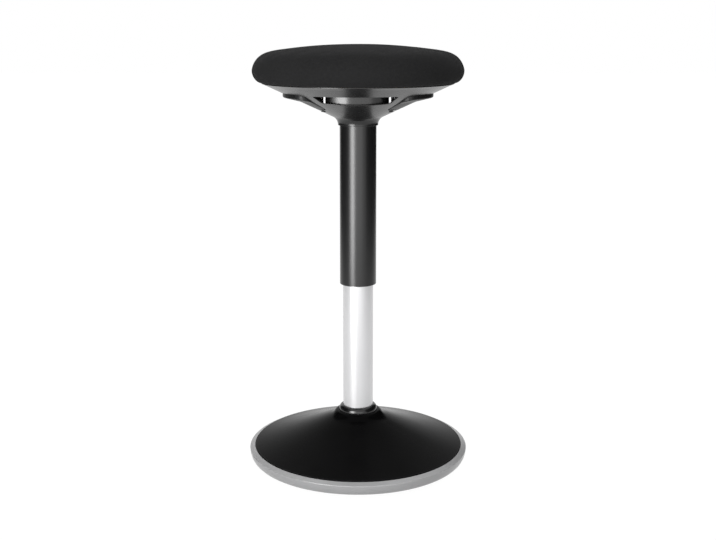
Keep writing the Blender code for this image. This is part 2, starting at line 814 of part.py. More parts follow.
def make_cone_socket(swivel):
    """Steel socket that takes the gas cylinder's taper, with slots at its head for the rockers."""
    bore_bottom = taper_top_radius + taper_narrowing * socket_grip / taper_length + GAP
    head_bore = cylinder_radius + 2 * GAP
    socket = turned(
        "cone_socket",
        [
            (bore_bottom, cone_socket_bottom_height),
            (socket_head_radius, cone_socket_bottom_height),
            (socket_head_radius, cone_socket_top_height),
            (head_bore, cone_socket_top_height),
            (head_bore, cylinder_top_height + 1 * MM),
            (taper_top_radius + GAP, cylinder_top_height),
        ],
        "steel", swivel, HIDDEN,
    )
    slot_half = rocker_width / 2 + rocker_side_gap
    slot_bottom = rocker_bottom_height - valve_travel - 1 * MM
    reach = socket_head_radius + 2 * MM
    slot = block(
        "rocker_slot",
        (-reach, -slot_half, slot_bottom),
        (reach, slot_half, cone_socket_top_height + 1 * MM),
        parent=swivel, helper=True,
    )
    cut(socket, slot)
    pin_reach = math.sqrt(socket_head_radius ** 2 - rocker_axis_offset ** 2)
    pin_half_length = pin_reach - 0.7 * MM
    for name, side in (("left", -1), ("right", 1)):
        axis = (side * rocker_axis_offset, 0, rocker_axis_height)
        pin = cross_rod(f"rocker_pin_{name}", rocker_pin_radius, pin_half_length, "zinc", swivel)
        pin.location = axis
        hole = cross_rod(
            f"hole_{name}_in_cone_socket", rocker_pin_radius + GAP,
            socket_head_radius, None, swivel, helper=True,
        )
        hole.location = axis
        cut(socket, hole)


def cross_rod(name, radius, half_length, look, parent, helper=False):
    """A round pin along Y, with its middle at its origin."""
    made = rod(name, radius, -half_length, half_length, look, parent, TINY, helper)
    made.data.transform(Matrix.Rotation(math.pi / 2, 4, "X"))
    return made


def make_cylinder(swivel):
    inside = cylinder_radius - cylinder_wall
    pin_bore = valve_pin_radius + RUNNING_GAP
    valve_top = rocker_bottom_height - GAP
    valve_bottom = valve_top - valve_pin_length
    bore_floor = valve_bottom - valve_travel - GAP
    turned(
        "gas_cylinder",
        [
            (rod_radius + RUNNING_GAP, cylinder_bottom_height),
            (cylinder_radius - cylinder_chamfer, cylinder_bottom_height),
            (cylinder_radius, cylinder_bottom_height + cylinder_chamfer),
            (cylinder_radius, cylinder_top_height - taper_length),
            (taper_top_radius, cylinder_top_height),
            (pin_bore, cylinder_top_height),
            (pin_bore, bore_floor),
            (0, bore_floor),
            (0, cylinder_top_height - cylinder_head),
            (inside, cylinder_top_height - cylinder_head),
            (inside, cylinder_bottom_height + cylinder_end),
            (rod_radius + RUNNING_GAP, cylinder_bottom_height + cylinder_end),
        ],
        "black_paint", swivel, COARSE,
    )
    rod("valve_pin", valve_pin_radius, valve_bottom, valve_top, "steel", swivel, SMALL)


def make_sleeve(swivel):
    inside = sleeve_inner_radius
    turned(
        "sleeve_tube",
        [
            (inside, sleeve_bottom_height),
            (sleeve_radius - sleeve_chamfer, sleeve_bottom_height),
            (sleeve_radius, sleeve_bottom_height + sleeve_chamfer),
            (sleeve_radius, sleeve_top_height),
            (inside, sleeve_top_height),
        ],
        "black_paint", swivel, COARSE,
    )
    bush_bottom = sleeve_bottom_height + 0.5 * MM
    tube(
        "sleeve_bush", column_radius + RUNNING_GAP, inside - GAP,
        bush_bottom, bush_bottom + sleeve_bush_length, "nylon", swivel,
    )
    ring_bottom = cone_socket_bottom_height + 2 * MM
    tube(
        "sleeve_ring", socket_head_radius + GAP, inside - GAP,
        ring_bottom, ring_bottom + sleeve_ring_length, "black_plastic", swivel, HIDDEN,
    )


# Release

def make_hub(release):
    """Ring that both paddles lift: it slides on the cone socket and its ledge lifts the rockers."""
    inside = hub_radius - hub_wall
    boss_inner = socket_head_radius + GAP
    boss_outer = boss_inner + hub_boss_wall
    web_bottom = hub_bottom_height + hub_web_rise
    web_top = web_bottom + hub_web_thickness
    boss_bottom = web_bottom - hub_boss_length / 2
    ledge_top = rocker_bottom_height - GAP
    ledge_bottom = ledge_top - hub_ledge_thickness
    hub = turned(
        "release_hub",
        [
            (boss_inner, boss_bottom),
            (boss_outer, boss_bottom),
            (boss_outer, web_bottom),
            (inside, web_bottom),
            (inside, hub_bottom_height),
            (hub_radius, hub_bottom_height),
            (hub_radius, hub_top_height - hub_chamfer),
            (hub_radius - hub_chamfer, hub_top_height),
            (inside, hub_top_height),
            (inside, ledge_top),
            (inside - hub_ledge_width, ledge_top),
            (inside - hub_ledge_width, ledge_bottom),
            (inside, ledge_bottom),
            (inside, web_top),
            (boss_outer, web_top),
            (boss_outer, boss_bottom + hub_boss_length),
            (boss_inner, boss_bottom + hub_boss_length),
        ],
        "gloss_plastic", release, COARSE,
    )
    lug_bottom = arm_bottom_height + arm_thickness + GAP
    for name, side in (("left", -1), ("right", 1)):
        ends = sorted((side * (hub_radius - 1 * MM), side * (hub_radius + lug_length)))
        lug = block(
            f"{name}_lug",
            (ends[0], -arm_half_width, lug_bottom),
            (ends[1], arm_half_width, lug_bottom + lug_thickness),
            parent=release, helper=True,
        )
        fuse(hub, lug)
        hole = paddle_screw_hole(f"{name}_lug_hole", side, release)
        cut(hub, hole)


def paddle_screw_hole(name, side, parent):
    hole = rod(
        name, paddle_screw_radius + GAP, arm_bottom_height + 1 * MM,
        arm_bottom_height + arm_thickness + lug_thickness + 2 * MM,
        None, parent, TINY, helper=True,
    )
    return place(hole, side * (hub_radius + lug_length / 2))


def make_paddles(release):
    """Shells that fill the side windows, flush with the bowl and standing out past their bend."""
    inner = side_window_inner_radius + paddle_gap
    outer = side_window_outer_radius - paddle_gap
    bend_height = cone_height(paddle_bend_radius)
    tip_height = bend_height + paddle_tip_slope * (outer - paddle_bend_radius)
    lip_inner = outer - paddle_wall
    profile = [
        (inner, cone_height(inner)),
        (paddle_bend_radius - 3 * MM, cone_height(paddle_bend_radius - 3 * MM)),
        (paddle_bend_radius + 3 * MM, bend_height + paddle_tip_slope * 3 * MM),
        (outer - 1 * MM, tip_height - paddle_tip_slope * 1 * MM),
        (outer, tip_height + 0.8 * MM),
        (outer, tip_height + paddle_lip),
        (lip_inner, tip_height + paddle_lip),
        (lip_inner, tip_height + paddle_wall - 0.6 * MM),
        (paddle_bend_radius, bend_height + paddle_wall),
        (inner, cone_height(inner) + paddle_wall),
    ]
    outline = sector_outline(inner - 2 * MM, outer + 2 * MM, side_window_half_angle, paddle_gap)
    for name, side, turn in (("left", -1, math.pi), ("right", 1, 0.0)):
        paddle = turned(f"paddle_{name}", profile, "black_plastic", release, steps=FINE)
        sector = prism(
            f"{name}_sector", outline, neck_bottom_height, seam_height,
            parent=release, helper=True,
        )
        boolean(paddle, place(sector, turn=turn), "INTERSECT")
        ends = sorted((side * (hub_radius + GAP), side * (inner + arm_overlap)))
        arm = block(
            f"{name}_arm",
            (ends[0], -arm_half_width, arm_bottom_height),
            (ends[1], arm_half_width, arm_bottom_height + arm_thickness),
            parent=release, helper=True,
        )
        fuse(paddle, arm)
        cut(paddle, paddle_screw_hole(f"{name}_arm_hole", side, release))
        made = screw(
            f"paddle_screw_{name}", paddle_screw_radius, paddle_screw_head_radius,
            paddle_screw_head_height, lug_thickness + arm_thickness * 0.6, "zinc", release,
        )
        made.location = (
            side * (hub_radius + lug_length / 2), 0,
            arm_bottom_height + arm_thickness + GAP + lug_thickness + GAP,
        )
        made.rotation_euler = (math.pi, 0, 0)


def make_rocker(name, side, swivel):
    """A lever on its own pin: the hub lifts its outer end and its inner end presses the valve pin."""
    location = (side * rocker_axis_offset, 0, rocker_axis_height)
    axis = pivot(f"rocker_axis_{name}", swivel, location)
    half = rocker_thickness / 2
    outer = hub_radius - hub_wall - rocker_hub_gap - half - rocker_axis_offset
    inner = rocker_axis_offset - half - rocker_nose_gap / 2
    side_view = arc((outer, 0), half, -math.pi / 2, math.pi / 2, 6)
    side_view += arc((0, 0), half + rocker_boss, math.radians(50), math.radians(130), 4)
    side_view += arc((-inner, 0), half, math.pi / 2, 3 * math.pi / 2, 6)
    bm = prism_mesh(side_view, -rocker_width / 2, rocker_width / 2)
    rocker = add_object(f"rocker_{name}", bm, "steel", axis)
    rocker.data.transform(Matrix.Rotation(math.pi / 2, 4, "X"))
    if side < 0:
        rocker.data.transform(Matrix.Rotation(math.pi, 4, "Z"))
    hole = cross_rod(
        f"{name}_rocker_bore", rocker_pin_radius + RUNNING_GAP,
        rocker_width, None, axis, helper=True,
    )
    cut(rocker, hole)


def main():
    for old in list(bpy.data.objects):
        bpy.data.objects.remove(old)
    make_base()
    make_column()
    swivel = pivot("swivel_axis", turn=seat_turn)
    make_rod(swivel)
    make_cylinder(swivel)
    make_sleeve(swivel)
    make_cone_socket(swivel)
    make_pan(swivel)
    make_bowl(swivel)
    make_cushion(swivel)
    release = pivot("release_slide", swivel)
    make_hub(release)
    make_paddles(release)
    make_rocker("left", -1, swivel)
    make_rocker("right", 1, swivel)


main()
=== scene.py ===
"""Looks for the balance stool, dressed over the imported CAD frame.

Pieces are built in millimetres and scaled to metres. The seat stands turned on its swivel, so
every piece above the column is built straight and then turned by SEAT_TURN.
"""
import json
import math

import bmesh
import bpy
import numpy as np
from mathutils import Matrix, Vector
from mathutils.geometry import delaunay_2d_cdt
from numpy.linalg import norm

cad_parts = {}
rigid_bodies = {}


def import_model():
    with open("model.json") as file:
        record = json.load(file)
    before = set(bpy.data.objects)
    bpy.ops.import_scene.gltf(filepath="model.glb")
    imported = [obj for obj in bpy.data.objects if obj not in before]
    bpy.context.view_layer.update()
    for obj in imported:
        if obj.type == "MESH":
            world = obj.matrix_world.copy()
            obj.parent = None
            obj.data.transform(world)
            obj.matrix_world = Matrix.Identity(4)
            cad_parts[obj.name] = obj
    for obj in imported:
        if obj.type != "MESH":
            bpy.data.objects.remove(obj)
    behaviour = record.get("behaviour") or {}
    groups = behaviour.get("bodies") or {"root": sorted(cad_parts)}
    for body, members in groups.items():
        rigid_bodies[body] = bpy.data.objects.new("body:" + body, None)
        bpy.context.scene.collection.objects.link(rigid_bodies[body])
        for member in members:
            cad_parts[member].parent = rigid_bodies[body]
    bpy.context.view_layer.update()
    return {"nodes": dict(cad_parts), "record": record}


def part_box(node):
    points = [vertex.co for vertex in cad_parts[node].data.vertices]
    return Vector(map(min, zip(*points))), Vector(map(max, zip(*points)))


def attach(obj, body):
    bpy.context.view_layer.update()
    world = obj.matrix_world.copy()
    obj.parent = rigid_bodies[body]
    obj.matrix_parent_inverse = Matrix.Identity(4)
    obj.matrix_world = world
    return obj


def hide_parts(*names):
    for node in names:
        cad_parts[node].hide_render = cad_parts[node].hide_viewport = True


for old in list(bpy.data.objects):
    bpy.data.objects.remove(old)
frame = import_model()
nodes = frame["nodes"]

MM = 0.001
SEAT_TURN = math.radians(-2.2)
TAU = math.tau

# Sizes that the pieces share with the CAD, in millimetres
SEAM_Z = 640.4
RIM_R = 155.5
CONE_APEX_Z = SEAM_Z - 73.9
CONE_SLOPE = 73.3 / RIM_R
BOWL_WALL = 3.3
BOWL_LIP_WALL = 1.2
INNER_RIM_R = 149.0
FRONT_HALF = math.radians(33)
FRONT_OUTER_R = 121.9
FRONT_LIP_R = 90.4
FRONT_LIP_ARC_R = 150.0
SIDE_HALF = math.radians(48)
SIDE_INNER_R = 68.9
SIDE_OUTER_R = 123.3
SIDE_CORNER = 20.0
SIDE_END = 9.0
PADDLE_GAP = 1.5
PADDLE_WALL = 3.2
BEND_START = 91.7
BEND_END = 97.7
PADDLE_TIP_SLOPE = 0.25
PADDLE_TIP_R = SIDE_OUTER_R - PADDLE_GAP
PADDLE_LIP = 8.0
HUB_R = 50.3
HUB_LOW_Z = 597.0
HUB_TOP_Z = 622.5
WEB_Z = (612.3, 615.3)
APRON_R = 88.0
APRON_HALF = math.radians(32.7)
POST_R = 2.9
POST_CIRCLE = 61.15
POST_ANGLE = math.radians(31.56)


def cone_z(r):
    return CONE_APEX_Z + CONE_SLOPE * r


def cross2(a, b):
    return float(a[0] * b[1] - a[1] * b[0])


def unit_rows(vectors):
    return vectors / norm(vectors, axis=1)[:, None]


def set_values(owner, **values):
    for key, value in values.items():
        setattr(owner, key, value)


def add_object(name, data):
    made = bpy.data.objects.new(name, data)
    bpy.context.scene.collection.objects.link(made)
    return made


def points_of(mesh):
    co = np.zeros(len(mesh.vertices) * 3)
    mesh.vertices.foreach_get("co", co)
    return co.reshape(-1, 3)


def set_points(mesh, points):
    mesh.vertices.foreach_set("co", points.ravel())
    mesh.update()


# ------------ mesh building

def profile_points(spec, closed):
    """Spreads a profile of (r, z) and (r, z, fillet) into rows of r, z, normal r, normal z, edge.

    (r, z) is a point of a smooth curve, a fillet of 0 is a sharp corner, and others are rounded.
    Edge is 1 on rounded corners, where a finish wears first and where some materials paint a
    highlight.
    """
    points = [np.array(item[:2], float) for item in spec]
    count = len(points)
    area = sum(
        points[i][0] * points[(i + 1) % count][1] - points[(i + 1) % count][0] * points[i][1]
        for i in range(count)
    )
    side = 1.0 if area > 0 else -1.0

    def unit(v):
        return v / max(norm(v), 1e-9)

    def outward(d):
        return side * np.array([d[1], -d[0]])

    rows = []
    for i, item in enumerate(spec):
        before = points[i - 1] if (closed or i > 0) else None
        after = points[(i + 1) % count] if (closed or i < count - 1) else None
        here = points[i]
        if before is None or after is None:
            d = unit(after - here) if before is None else unit(here - before)
            n = outward(d)
            if abs(here[0]) < 1e-6:
                n = np.array([0.0, math.copysign(1.0, n[1])])
            rows.append((*here, *n, 0.0))
            continue
        d0, d1 = unit(here - before), unit(after - here)
        if len(item) == 2:
            n = unit(outward(d0) + outward(d1))
            rows.append((*here, *n, 0.0))
        elif item[2] == 0:
            rows.append((*here, *outward(d0), 0.6))
            rows.append((*here, *outward(d1), 0.6))
        else:
            turn = math.acos(max(-1.0, min(1.0, float(d0 @ d1))))
            cut = min(item[2] * math.tan(turn / 2), 0.49 * norm(here - before),
                      0.49 * norm(after - here))
            radius = cut / max(math.tan(turn / 2), 1e-6)
            n0, n1 = outward(d0), outward(d1)
            start = here - d0 * cut
            concave = cross2(d0, d1) * side < 0
            centre = start + n0 * radius if concave else start - n0 * radius
            steps = 5
            for k in range(steps + 1):
                n = unit(n0 * (1 - k / steps) + n1 * (k / steps))
                p = centre - n * radius if concave else centre + n * radius
                rows.append((*p, *n, 0.0 if concave else (1.0 if 0 < k < steps else 0.7)))
    return np.array(fade_edges(rows, closed)), side


def fade_edges(rows, closed):
    """Adds a row just inside each marked corner, so that the lighter edge colour, rubbing and on
    some materials a painted highlight, stays on the corner.
    """
    out = []
    for i, row in enumerate(rows):
        out.append(row)
        if i == len(rows) - 1 and not closed:
            break
        after = rows[(i + 1) % len(rows)]
        gap = math.hypot(after[0] - row[0], after[1] - row[1])
        if gap < 3.0:
            continue
        for end, part in ((row, 1.2 / gap), (after, 1 - 1.2 / gap)):
            if end[4] > 0:
                at = [row[k] + (after[k] - row[k]) * part for k in (0, 1)]
                out.append((*at, end[2], end[3], 0.0))
    return out


def finish_mesh(name, co, faces, normals, edge, turned=False):
    """An object of points in millimetres, with its own normals and an edge attribute for rubbed
    edges and painted edge highlights.
    """
    mesh = bpy.data.meshes.new(name)
    mesh.from_pydata((np.asarray(co) * MM).tolist(), [], faces)
    mesh.shade_smooth()
    if edge is not None:
        layer = mesh.attributes.new("edge", "FLOAT", "POINT")
        layer.data.foreach_set("value", np.asarray(edge, np.float32))
    if normals is not None:
        mesh.normals_split_custom_set_from_vertices([tuple(n) for n in normals])
    if turned:
        mesh.transform(Matrix.Rotation(SEAT_TURN, 4, "Z"))
    return add_object(name, mesh)


def lathe_data(spec, steps=144, closed=True, centre=(0.0, 0.0)):
    rows, side = profile_points(spec, closed)
    angles = np.arange(steps) * TAU / steps
    cos, sin = np.cos(angles), np.sin(angles)
    r, z, nr, nz, edge = rows.T

    def spun(across, up):
        return np.stack([np.outer(across, cos), np.outer(across, sin),
                         np.repeat(up[:, None], steps, 1)], -1).reshape(-1, 3)

    count = len(rows)
    faces = []
    for i, k in [(i, i + 1) for i in range(count - 1)] + ([(count - 1, 0)] if closed else []):
        if norm(rows[i, :2] - rows[k, :2]) < 1e-6:
            continue
        for j in range(steps):
            m = (j + 1) % steps
            quad = (i * steps + j, i * steps + m, k * steps + m, k * steps + j)
            faces.append(quad[::-1] if side < 0 else quad)
    return spun(r, z) + (*centre, 0), faces, spun(nr, nz), np.repeat(edge, steps)


def lathe(name, spec, steps=144, closed=True):
    return finish_mesh(name, *lathe_data(spec, steps, closed))


def merged(name, parts):
    """One object from several (points, faces, normals, edge) sets, turned with the seat."""
    co, faces, no, edge = [], [], [], []
    start = 0
    for c, f, n, e in parts:
        co.append(c)
        no.append(n)
        edge.append(e)
        faces += [tuple(i + start for i in face) for face in f]
        start += len(c)
    return finish_mesh(name, np.concatenate(co), faces, np.concatenate(no), np.concatenate(edge),
                       turned=True)


def arc_xy(centre, radius, start, end, spacing=2.0):
    count = max(2, int(abs(end - start) * radius / spacing))
    a = np.linspace(start, end, count + 1)
    return [(centre[0] + radius * math.cos(t), centre[1] + radius * math.sin(t)) for t in a]


def round_corners(outline, radius, corners):
    """Rounds the named corner points of a dense closed outline."""
    out = np.array(outline, float)
    result = []
    n = len(out)
    for i in range(n):
        here = out[i]
        near = [c for c in corners if norm(here - np.array(c)) < 1e-6]
        if near:
            def walk(step):
                left, at, k = radius, here, i
                while True:
                    nxt = out[(k + step) % n]
                    seg = norm(nxt - at)
                    if seg >= left:
                        return at + (nxt - at) * left / seg
                    left -= seg
                    at, k = nxt, k + step
            a, b = walk(-1), walk(1)
            for t in np.linspace(0, 1, 7):
                result.append((1 - t) ** 2 * a + 2 * t * (1 - t) * here + t * t * b)
            continue
        if any(norm(here - np.array(c)) < radius for c in corners):
            continue
        result.append(here)
    return np.array(result)


def outline_normals(loop, inside_left):
    """Plan normals of a closed loop, pointing out of the material."""
    d = np.roll(loop, -1, 0) - np.roll(loop, 1, 0)
    d /= np.maximum(norm(d, axis=1), 1e-9)[:, None]
    n = np.stack([d[:, 1], -d[:, 0]], 1)
    return n if inside_left else -n


def loop_area(loop):
    x, y = loop[:, 0], loop[:, 1]
    return 0.5 * float(np.sum(x * np.roll(y, -1) - np.roll(x, -1) * y))


def inside(points, loop):
    """Which points lie in a closed loop, by crossings."""
    x, y = points[:, 0], points[:, 1]
    hit = np.zeros(len(points), bool)
    for (x0, y0), (x1, y1) in zip(loop, np.roll(loop, -1, 0)):
        if y0 == y1:
            continue
        crosses = (y0 > y) != (y1 > y)
        hit ^= crosses & (x < (x1 - x0) * (y - y0) / (y1 - y0) + x0)
    return hit


def shell(outer, holes, low, high, fillet, spacing, plain=(), extra=None):
    """A moulded wall between two height functions of the plan, with rounded free edges.

    outer and holes are closed plan loops. Those named in plain have no edge, as the wall goes on.
    low and high return the height and the radial slope for plan points.
    """
    insets, walls = [], []
    for kind, loop in [("outer", outer)] + [(f"hole{i}", h) for i, h in enumerate(holes)]:
        normal = outline_normals(loop, (loop_area(loop) > 0) == (kind == "outer"))
        if kind in plain:
            insets.append(loop)
        else:
            insets.append(loop - normal * fillet)
            walls.append((loop, normal))

    def in_wall(points):
        return inside(points, insets[0]) & ~np.any([inside(points, h) for h in insets[1:]], axis=0)

    radii = np.arange(spacing, max(np.abs(insets[0]).max() * 1.42, 1), spacing)
    grid = []
    for ring, r in enumerate(radii):
        count = max(8, int(TAU * r / (spacing * 1.15)))
        a = (np.arange(count) + 0.5 * (ring % 2)) * TAU / count
        grid.append(np.stack([r * np.cos(a), r * np.sin(a)], 1))
    grid = np.concatenate(grid)
    grid = grid[in_wall(grid)]
    edge_points = np.concatenate(insets)
    for chunk in range(0, len(grid), 2000):
        part = grid[chunk:chunk + 2000]
        gap = np.min(norm(part[:, None] - edge_points[None], axis=2), axis=1)
        part[gap <= spacing * 0.45] = np.nan
    grid = grid[~np.isnan(grid[:, 0])]
    plan = np.concatenate([edge_points, grid] + ([] if extra is None else [extra]))
    edges, start = [], 0
    for loop in insets:
        n = len(loop)
        edges += [(start + i, start + (i + 1) % n) for i in range(n)]
        start += n
    verts, _, tris, _, _, _ = delaunay_2d_cdt([Vector(p) for p in plan], edges, [], 0, 1e-7)
    verts = np.array([tuple(v) for v in verts])
    tris = np.array([t for t in tris if len(t) == 3])
    tris = tris[in_wall(verts[tris].mean(1))]
    a, b, c = verts[tris[:, 0]], verts[tris[:, 1]], verts[tris[:, 2]]
    turn = (b[:, 0] - a[:, 0]) * (c[:, 1] - a[:, 1]) - (b[:, 1] - a[:, 1]) * (c[:, 0] - a[:, 0])
    tris[turn < 0] = tris[turn < 0][:, ::-1]

    def surface(points, heights, up):
        r = norm(points, axis=1)
        z, slope = heights(points)
        radial = points / np.maximum(r, 1e-6)[:, None]
        n = unit_rows(np.column_stack([-radial * slope[:, None], np.ones(len(r))]))
        return np.column_stack([points, z]), (n if up else -n)

    co_low, no_low = surface(verts, low, False)
    co_high, no_high = surface(verts, high, True)
    co, no = [co_low, co_high], [no_low, no_high]
    edge = [np.zeros(len(verts)), np.zeros(len(verts))]
    n_plan = len(verts)
    faces = tris[:, ::-1].tolist() + (tris + n_plan).tolist()
    start = 2 * n_plan
    steps = 4
    for loop, normal in walls:
        n = len(loop)
        rings = []
        for up in (False, True):
            heights = high if up else low
            for k in (range(steps, -1, -1) if up else range(steps + 1)):
                a = math.pi / 2 * k / steps
                at = loop - normal * fillet * (1 - math.sin(a))
                z, _ = heights(at)
                _, surface_n = surface(at, heights, up)
                z = z + (-1 if up else 1) * fillet * (1 - math.cos(a))
                wall_n = np.column_stack([normal, np.zeros(n)])
                blend = unit_rows(surface_n * math.cos(a) + wall_n * math.sin(a))
                rings.append((np.column_stack([at, z]), blend, 1.0 if k < steps else 0.5))
        outwards_right = cross2(loop[1] - loop[0], normal[0]) < 0
        for points, n3, e in rings:
            co.append(points)
            no.append(n3)
            edge.append(np.full(n, e))
        for k in range(len(rings) - 1):
            for i in range(n):
                m = (i + 1) % n
                quad = (start + k * n + i, start + k * n + m, start + (k + 1) * n + m,
                        start + (k + 1) * n + i)
                faces.append(quad if outwards_right else quad[::-1])
        start += n * len(rings)
    return np.concatenate(co), faces, np.concatenate(no), np.concatenate(edge)


def circle_loop(radius, count):
    a = np.arange(count) * TAU / count
    return np.stack([radius * np.cos(a), radius * np.sin(a)], 1)


def spin_loop(loop, angle):
    c, s = math.cos(angle), math.sin(angle)
    return loop @ np.array([[c, s], [-s, c]])


def bar(outline, low, high, bevel, matrix=None):
    """A plan outline pulled up from low to high, with small bevels and flat faces."""
    bm = bmesh.new()
    face = bm.faces.new([bm.verts.new((x, y, low)) for x, y in outline])
    upper = bmesh.ops.extrude_face_region(bm, geom=[face])["geom"]
    moved = [item for item in upper if isinstance(item, bmesh.types.BMVert)]
    bmesh.ops.translate(bm, verts=moved, vec=(0, 0, high - low))
    bmesh.ops.recalc_face_normals(bm, faces=bm.faces)
    made = bmesh.ops.bevel(bm, geom=bm.edges[:], offset=bevel, segments=2, affect="EDGES",
                           profile=0.5)
    bevels = set(made["faces"])
    if matrix is not None:
        bmesh.ops.transform(bm, matrix=matrix, verts=bm.verts)
    bm.normal_update()
    co, faces, no, edge = [], [], [], []
    for f in bm.faces:
        faces.append(tuple(range(len(co), len(co) + len(f.verts))))
        for v in f.verts:
            co.append(tuple(v.co))
            no.append(tuple(f.normal))
            edge.append(0.8 if f in bevels else 0.0)
    bm.free()
    return np.array(co), faces, np.array(no), np.array(edge)


def rectangle(x0, x1, y0, y1):
    return [(x0, y0), (x1, y0), (x1, y1), (x0, y1)]


# ------------ materials

def grey(level, blue=None):
    """A neutral colour, or one whose blue differs a little."""
    return level, level, level if blue is None else blue


class Graph:
    """A small builder for the nodes of one tree."""

    def __init__(self, tree):
        self.tree = tree

    def node(self, kind, **values):
        made = self.tree.nodes.new(kind)
        set_values(made, **values)
        return made

    def link(self, a, b):
        self.tree.links.new(a, b)

    def feed(self, socket, value):
        """Sets a socket to a number or a colour, or links it to another one."""
        if isinstance(value, (int, float)):
            socket.default_value = value
        elif isinstance(value, tuple):
            socket.default_value = (*value, 1)
        else:
            self.link(value, socket)

    def filled(self, kind, **values):
        """A node whose inputs are given by name, with _ for a space."""
        made = self.node(kind)
        for key, value in values.items():
            self.feed(made.inputs[key.replace("_", " ")], value)
        return made

    def math(self, operation, *values):
        made = self.node("ShaderNodeMath", operation=operation)
        for socket, value in zip(made.inputs, values):
            self.feed(socket, value)
        return made.outputs[0]

    def times(self, a, b):
        return self.math("MULTIPLY", a, b)


class Look(Graph):
    """One material's nodes, round its Principled shader."""

    def __init__(self, name):
        self.material = bpy.data.materials.new(name)
        self.material.use_nodes = True
        super().__init__(self.material.node_tree)
        self.shader = self.tree.nodes["Principled BSDF"]
        self.position = None

    def set(self, **values):
        for key, value in values.items():
            self.shader.inputs[key.replace("_", " ")].default_value = value

    def place(self, stretch=(1, 1, 1)):
        """Object coordinates in millimetres, times a stretch."""
        if self.position is None:
            self.position = self.node("ShaderNodeTexCoord").outputs["Object"]
        scale = self.node("ShaderNodeVectorMath", operation="MULTIPLY")
        self.link(self.position, scale.inputs[0])
        scale.inputs[1].default_value = [1000 * s for s in stretch]
        return scale.outputs[0]

    def noise(self, size, detail=2.0, roughness=0.5, stretch=(1, 1, 1)):
        made = self.filled("ShaderNodeTexNoise", Scale=1.0 / size, Detail=detail,
                           Roughness=roughness, Vector=self.place(stretch))
        return made.outputs["Fac"]

    def spread(self, value, low, high, out_low=0.0, out_high=1.0):
        made = self.filled("ShaderNodeMapRange", From_Min=low, From_Max=high, To_Min=out_low,
                           To_Max=out_high, Value=value)
        return made.outputs["Result"]

    def mix(self, factor, a, b):
        """Mixes two colours, each a tuple or a socket."""
        made = self.node("ShaderNodeMix", data_type="RGBA")
        colours = [s for s in made.inputs if s.type == "RGBA"]
        for socket, value in ((made.inputs[0], factor), (colours[0], a), (colours[1], b)):
            self.feed(socket, value)
        return [s for s in made.outputs if s.type == "RGBA"][0]

    def edges(self, size=2.5):
        """Where a finish is rubbed, and on some materials a highlight is painted: the rounded
        edges, broken up by noise.
        """
        layer = self.node("ShaderNodeAttribute", attribute_name="edge")
        broken = self.spread(self.noise(size, 3.0), 0.38, 0.72)
        return self.times(layer.outputs["Fac"], broken)

    def bump(self, height, strength, distance):
        made = self.filled("ShaderNodeBump", Strength=strength, Distance=distance * MM,
                           Height=height)
        self.link(made.outputs["Normal"], self.shader.inputs["Normal"])

    def colour(self, value):
        self.link(value, self.shader.inputs["Base Color"])

    def rough(self, value):
        self.link(value, self.shader.inputs["Roughness"])


def moulded(name, dark, light, rough, grain=0.55, grain_strength=0.25, specular=0.5,
            edge_colour=grey(0.05, 0.052), rub_and_highlight_amount=0.5, cloudy=60.0):
    """Moulded plastic: fine grain, faint clouding, and edges lighter and smoother, from rubbing and
    on some parts a painted highlight.
    """
    look = Look(name)
    base = look.mix(look.spread(look.noise(cloudy, 2.0), 0.35, 0.65), dark, light)
    rubbed_and_highlit = look.times(look.edges(), rub_and_highlight_amount)
    # Lighter edges: rubbing, and on the bowl and the grey ring also a painted highlight.
    look.colour(look.mix(rubbed_and_highlit, base, edge_colour))
    patchy = look.spread(look.noise(22.0, 3.0), 0.3, 0.7, rough * 0.92, rough * 1.08)
    look.rough(look.math("SUBTRACT", patchy, look.times(rubbed_and_highlit, rough * 0.3)))
    look.bump(look.noise(grain, 2.0, 0.6), grain_strength, 0.02)
    look.set(Specular_IOR_Level=specular)
    return look.material


def painted(name, dark, light, rough, metallic=0.0, specular=0.5, peel=1.6, edge_colour=grey(0.3)):
    """Powder coat or paint on metal: orange peel, faint colour drift and thin edges."""
    look = Look(name)
    look.colour(look.mix(
        look.times(look.edges(3.5), 0.4),
        look.mix(look.spread(look.noise(45.0, 2.0, stretch=(1, 1, 0.35)), 0.35, 0.65), dark, light),
        edge_colour,
    ))
    look.rough(look.spread(look.noise(14.0, 2.0, 0.5), 0.3, 0.7, rough * 0.98, rough * 1.02))
    look.bump(look.noise(peel, 1.0, 0.4), 0.03, 0.02)
    look.set(Metallic=metallic, Specular_IOR_Level=specular)
    return look.material


def brushed(name, dark, light, rough, strength=0.12, stain=0.3):
    """Bare or plated metal: fine drawn lines, faint staining and brighter rubbed edges."""
    look = Look(name)
    stains = look.spread(look.noise(9.0, 4.0, 0.65), 0.35, 0.75, 0.0, stain)
    streak = look.noise(1.0, 2.0, 0.5, stretch=(1 / 0.06, 1 / 0.06, 1 / 3.0))
    base = look.mix(look.spread(streak, 0.3, 0.7), dark, light)
    base = look.mix(stains, base, tuple(c * 0.7 for c in dark))
    rubbed = tuple(min(1, c * 1.15) for c in light)
    look.colour(look.mix(look.times(look.edges(), 0.5), base, rubbed))
    look.rough(look.spread(streak, 0.25, 0.75, rough * 0.8, rough * 1.25))
    look.bump(streak, strength, 0.02)
    look.set(Metallic=1.0)
    return look.material


WEAVE_PITCH = 1.25


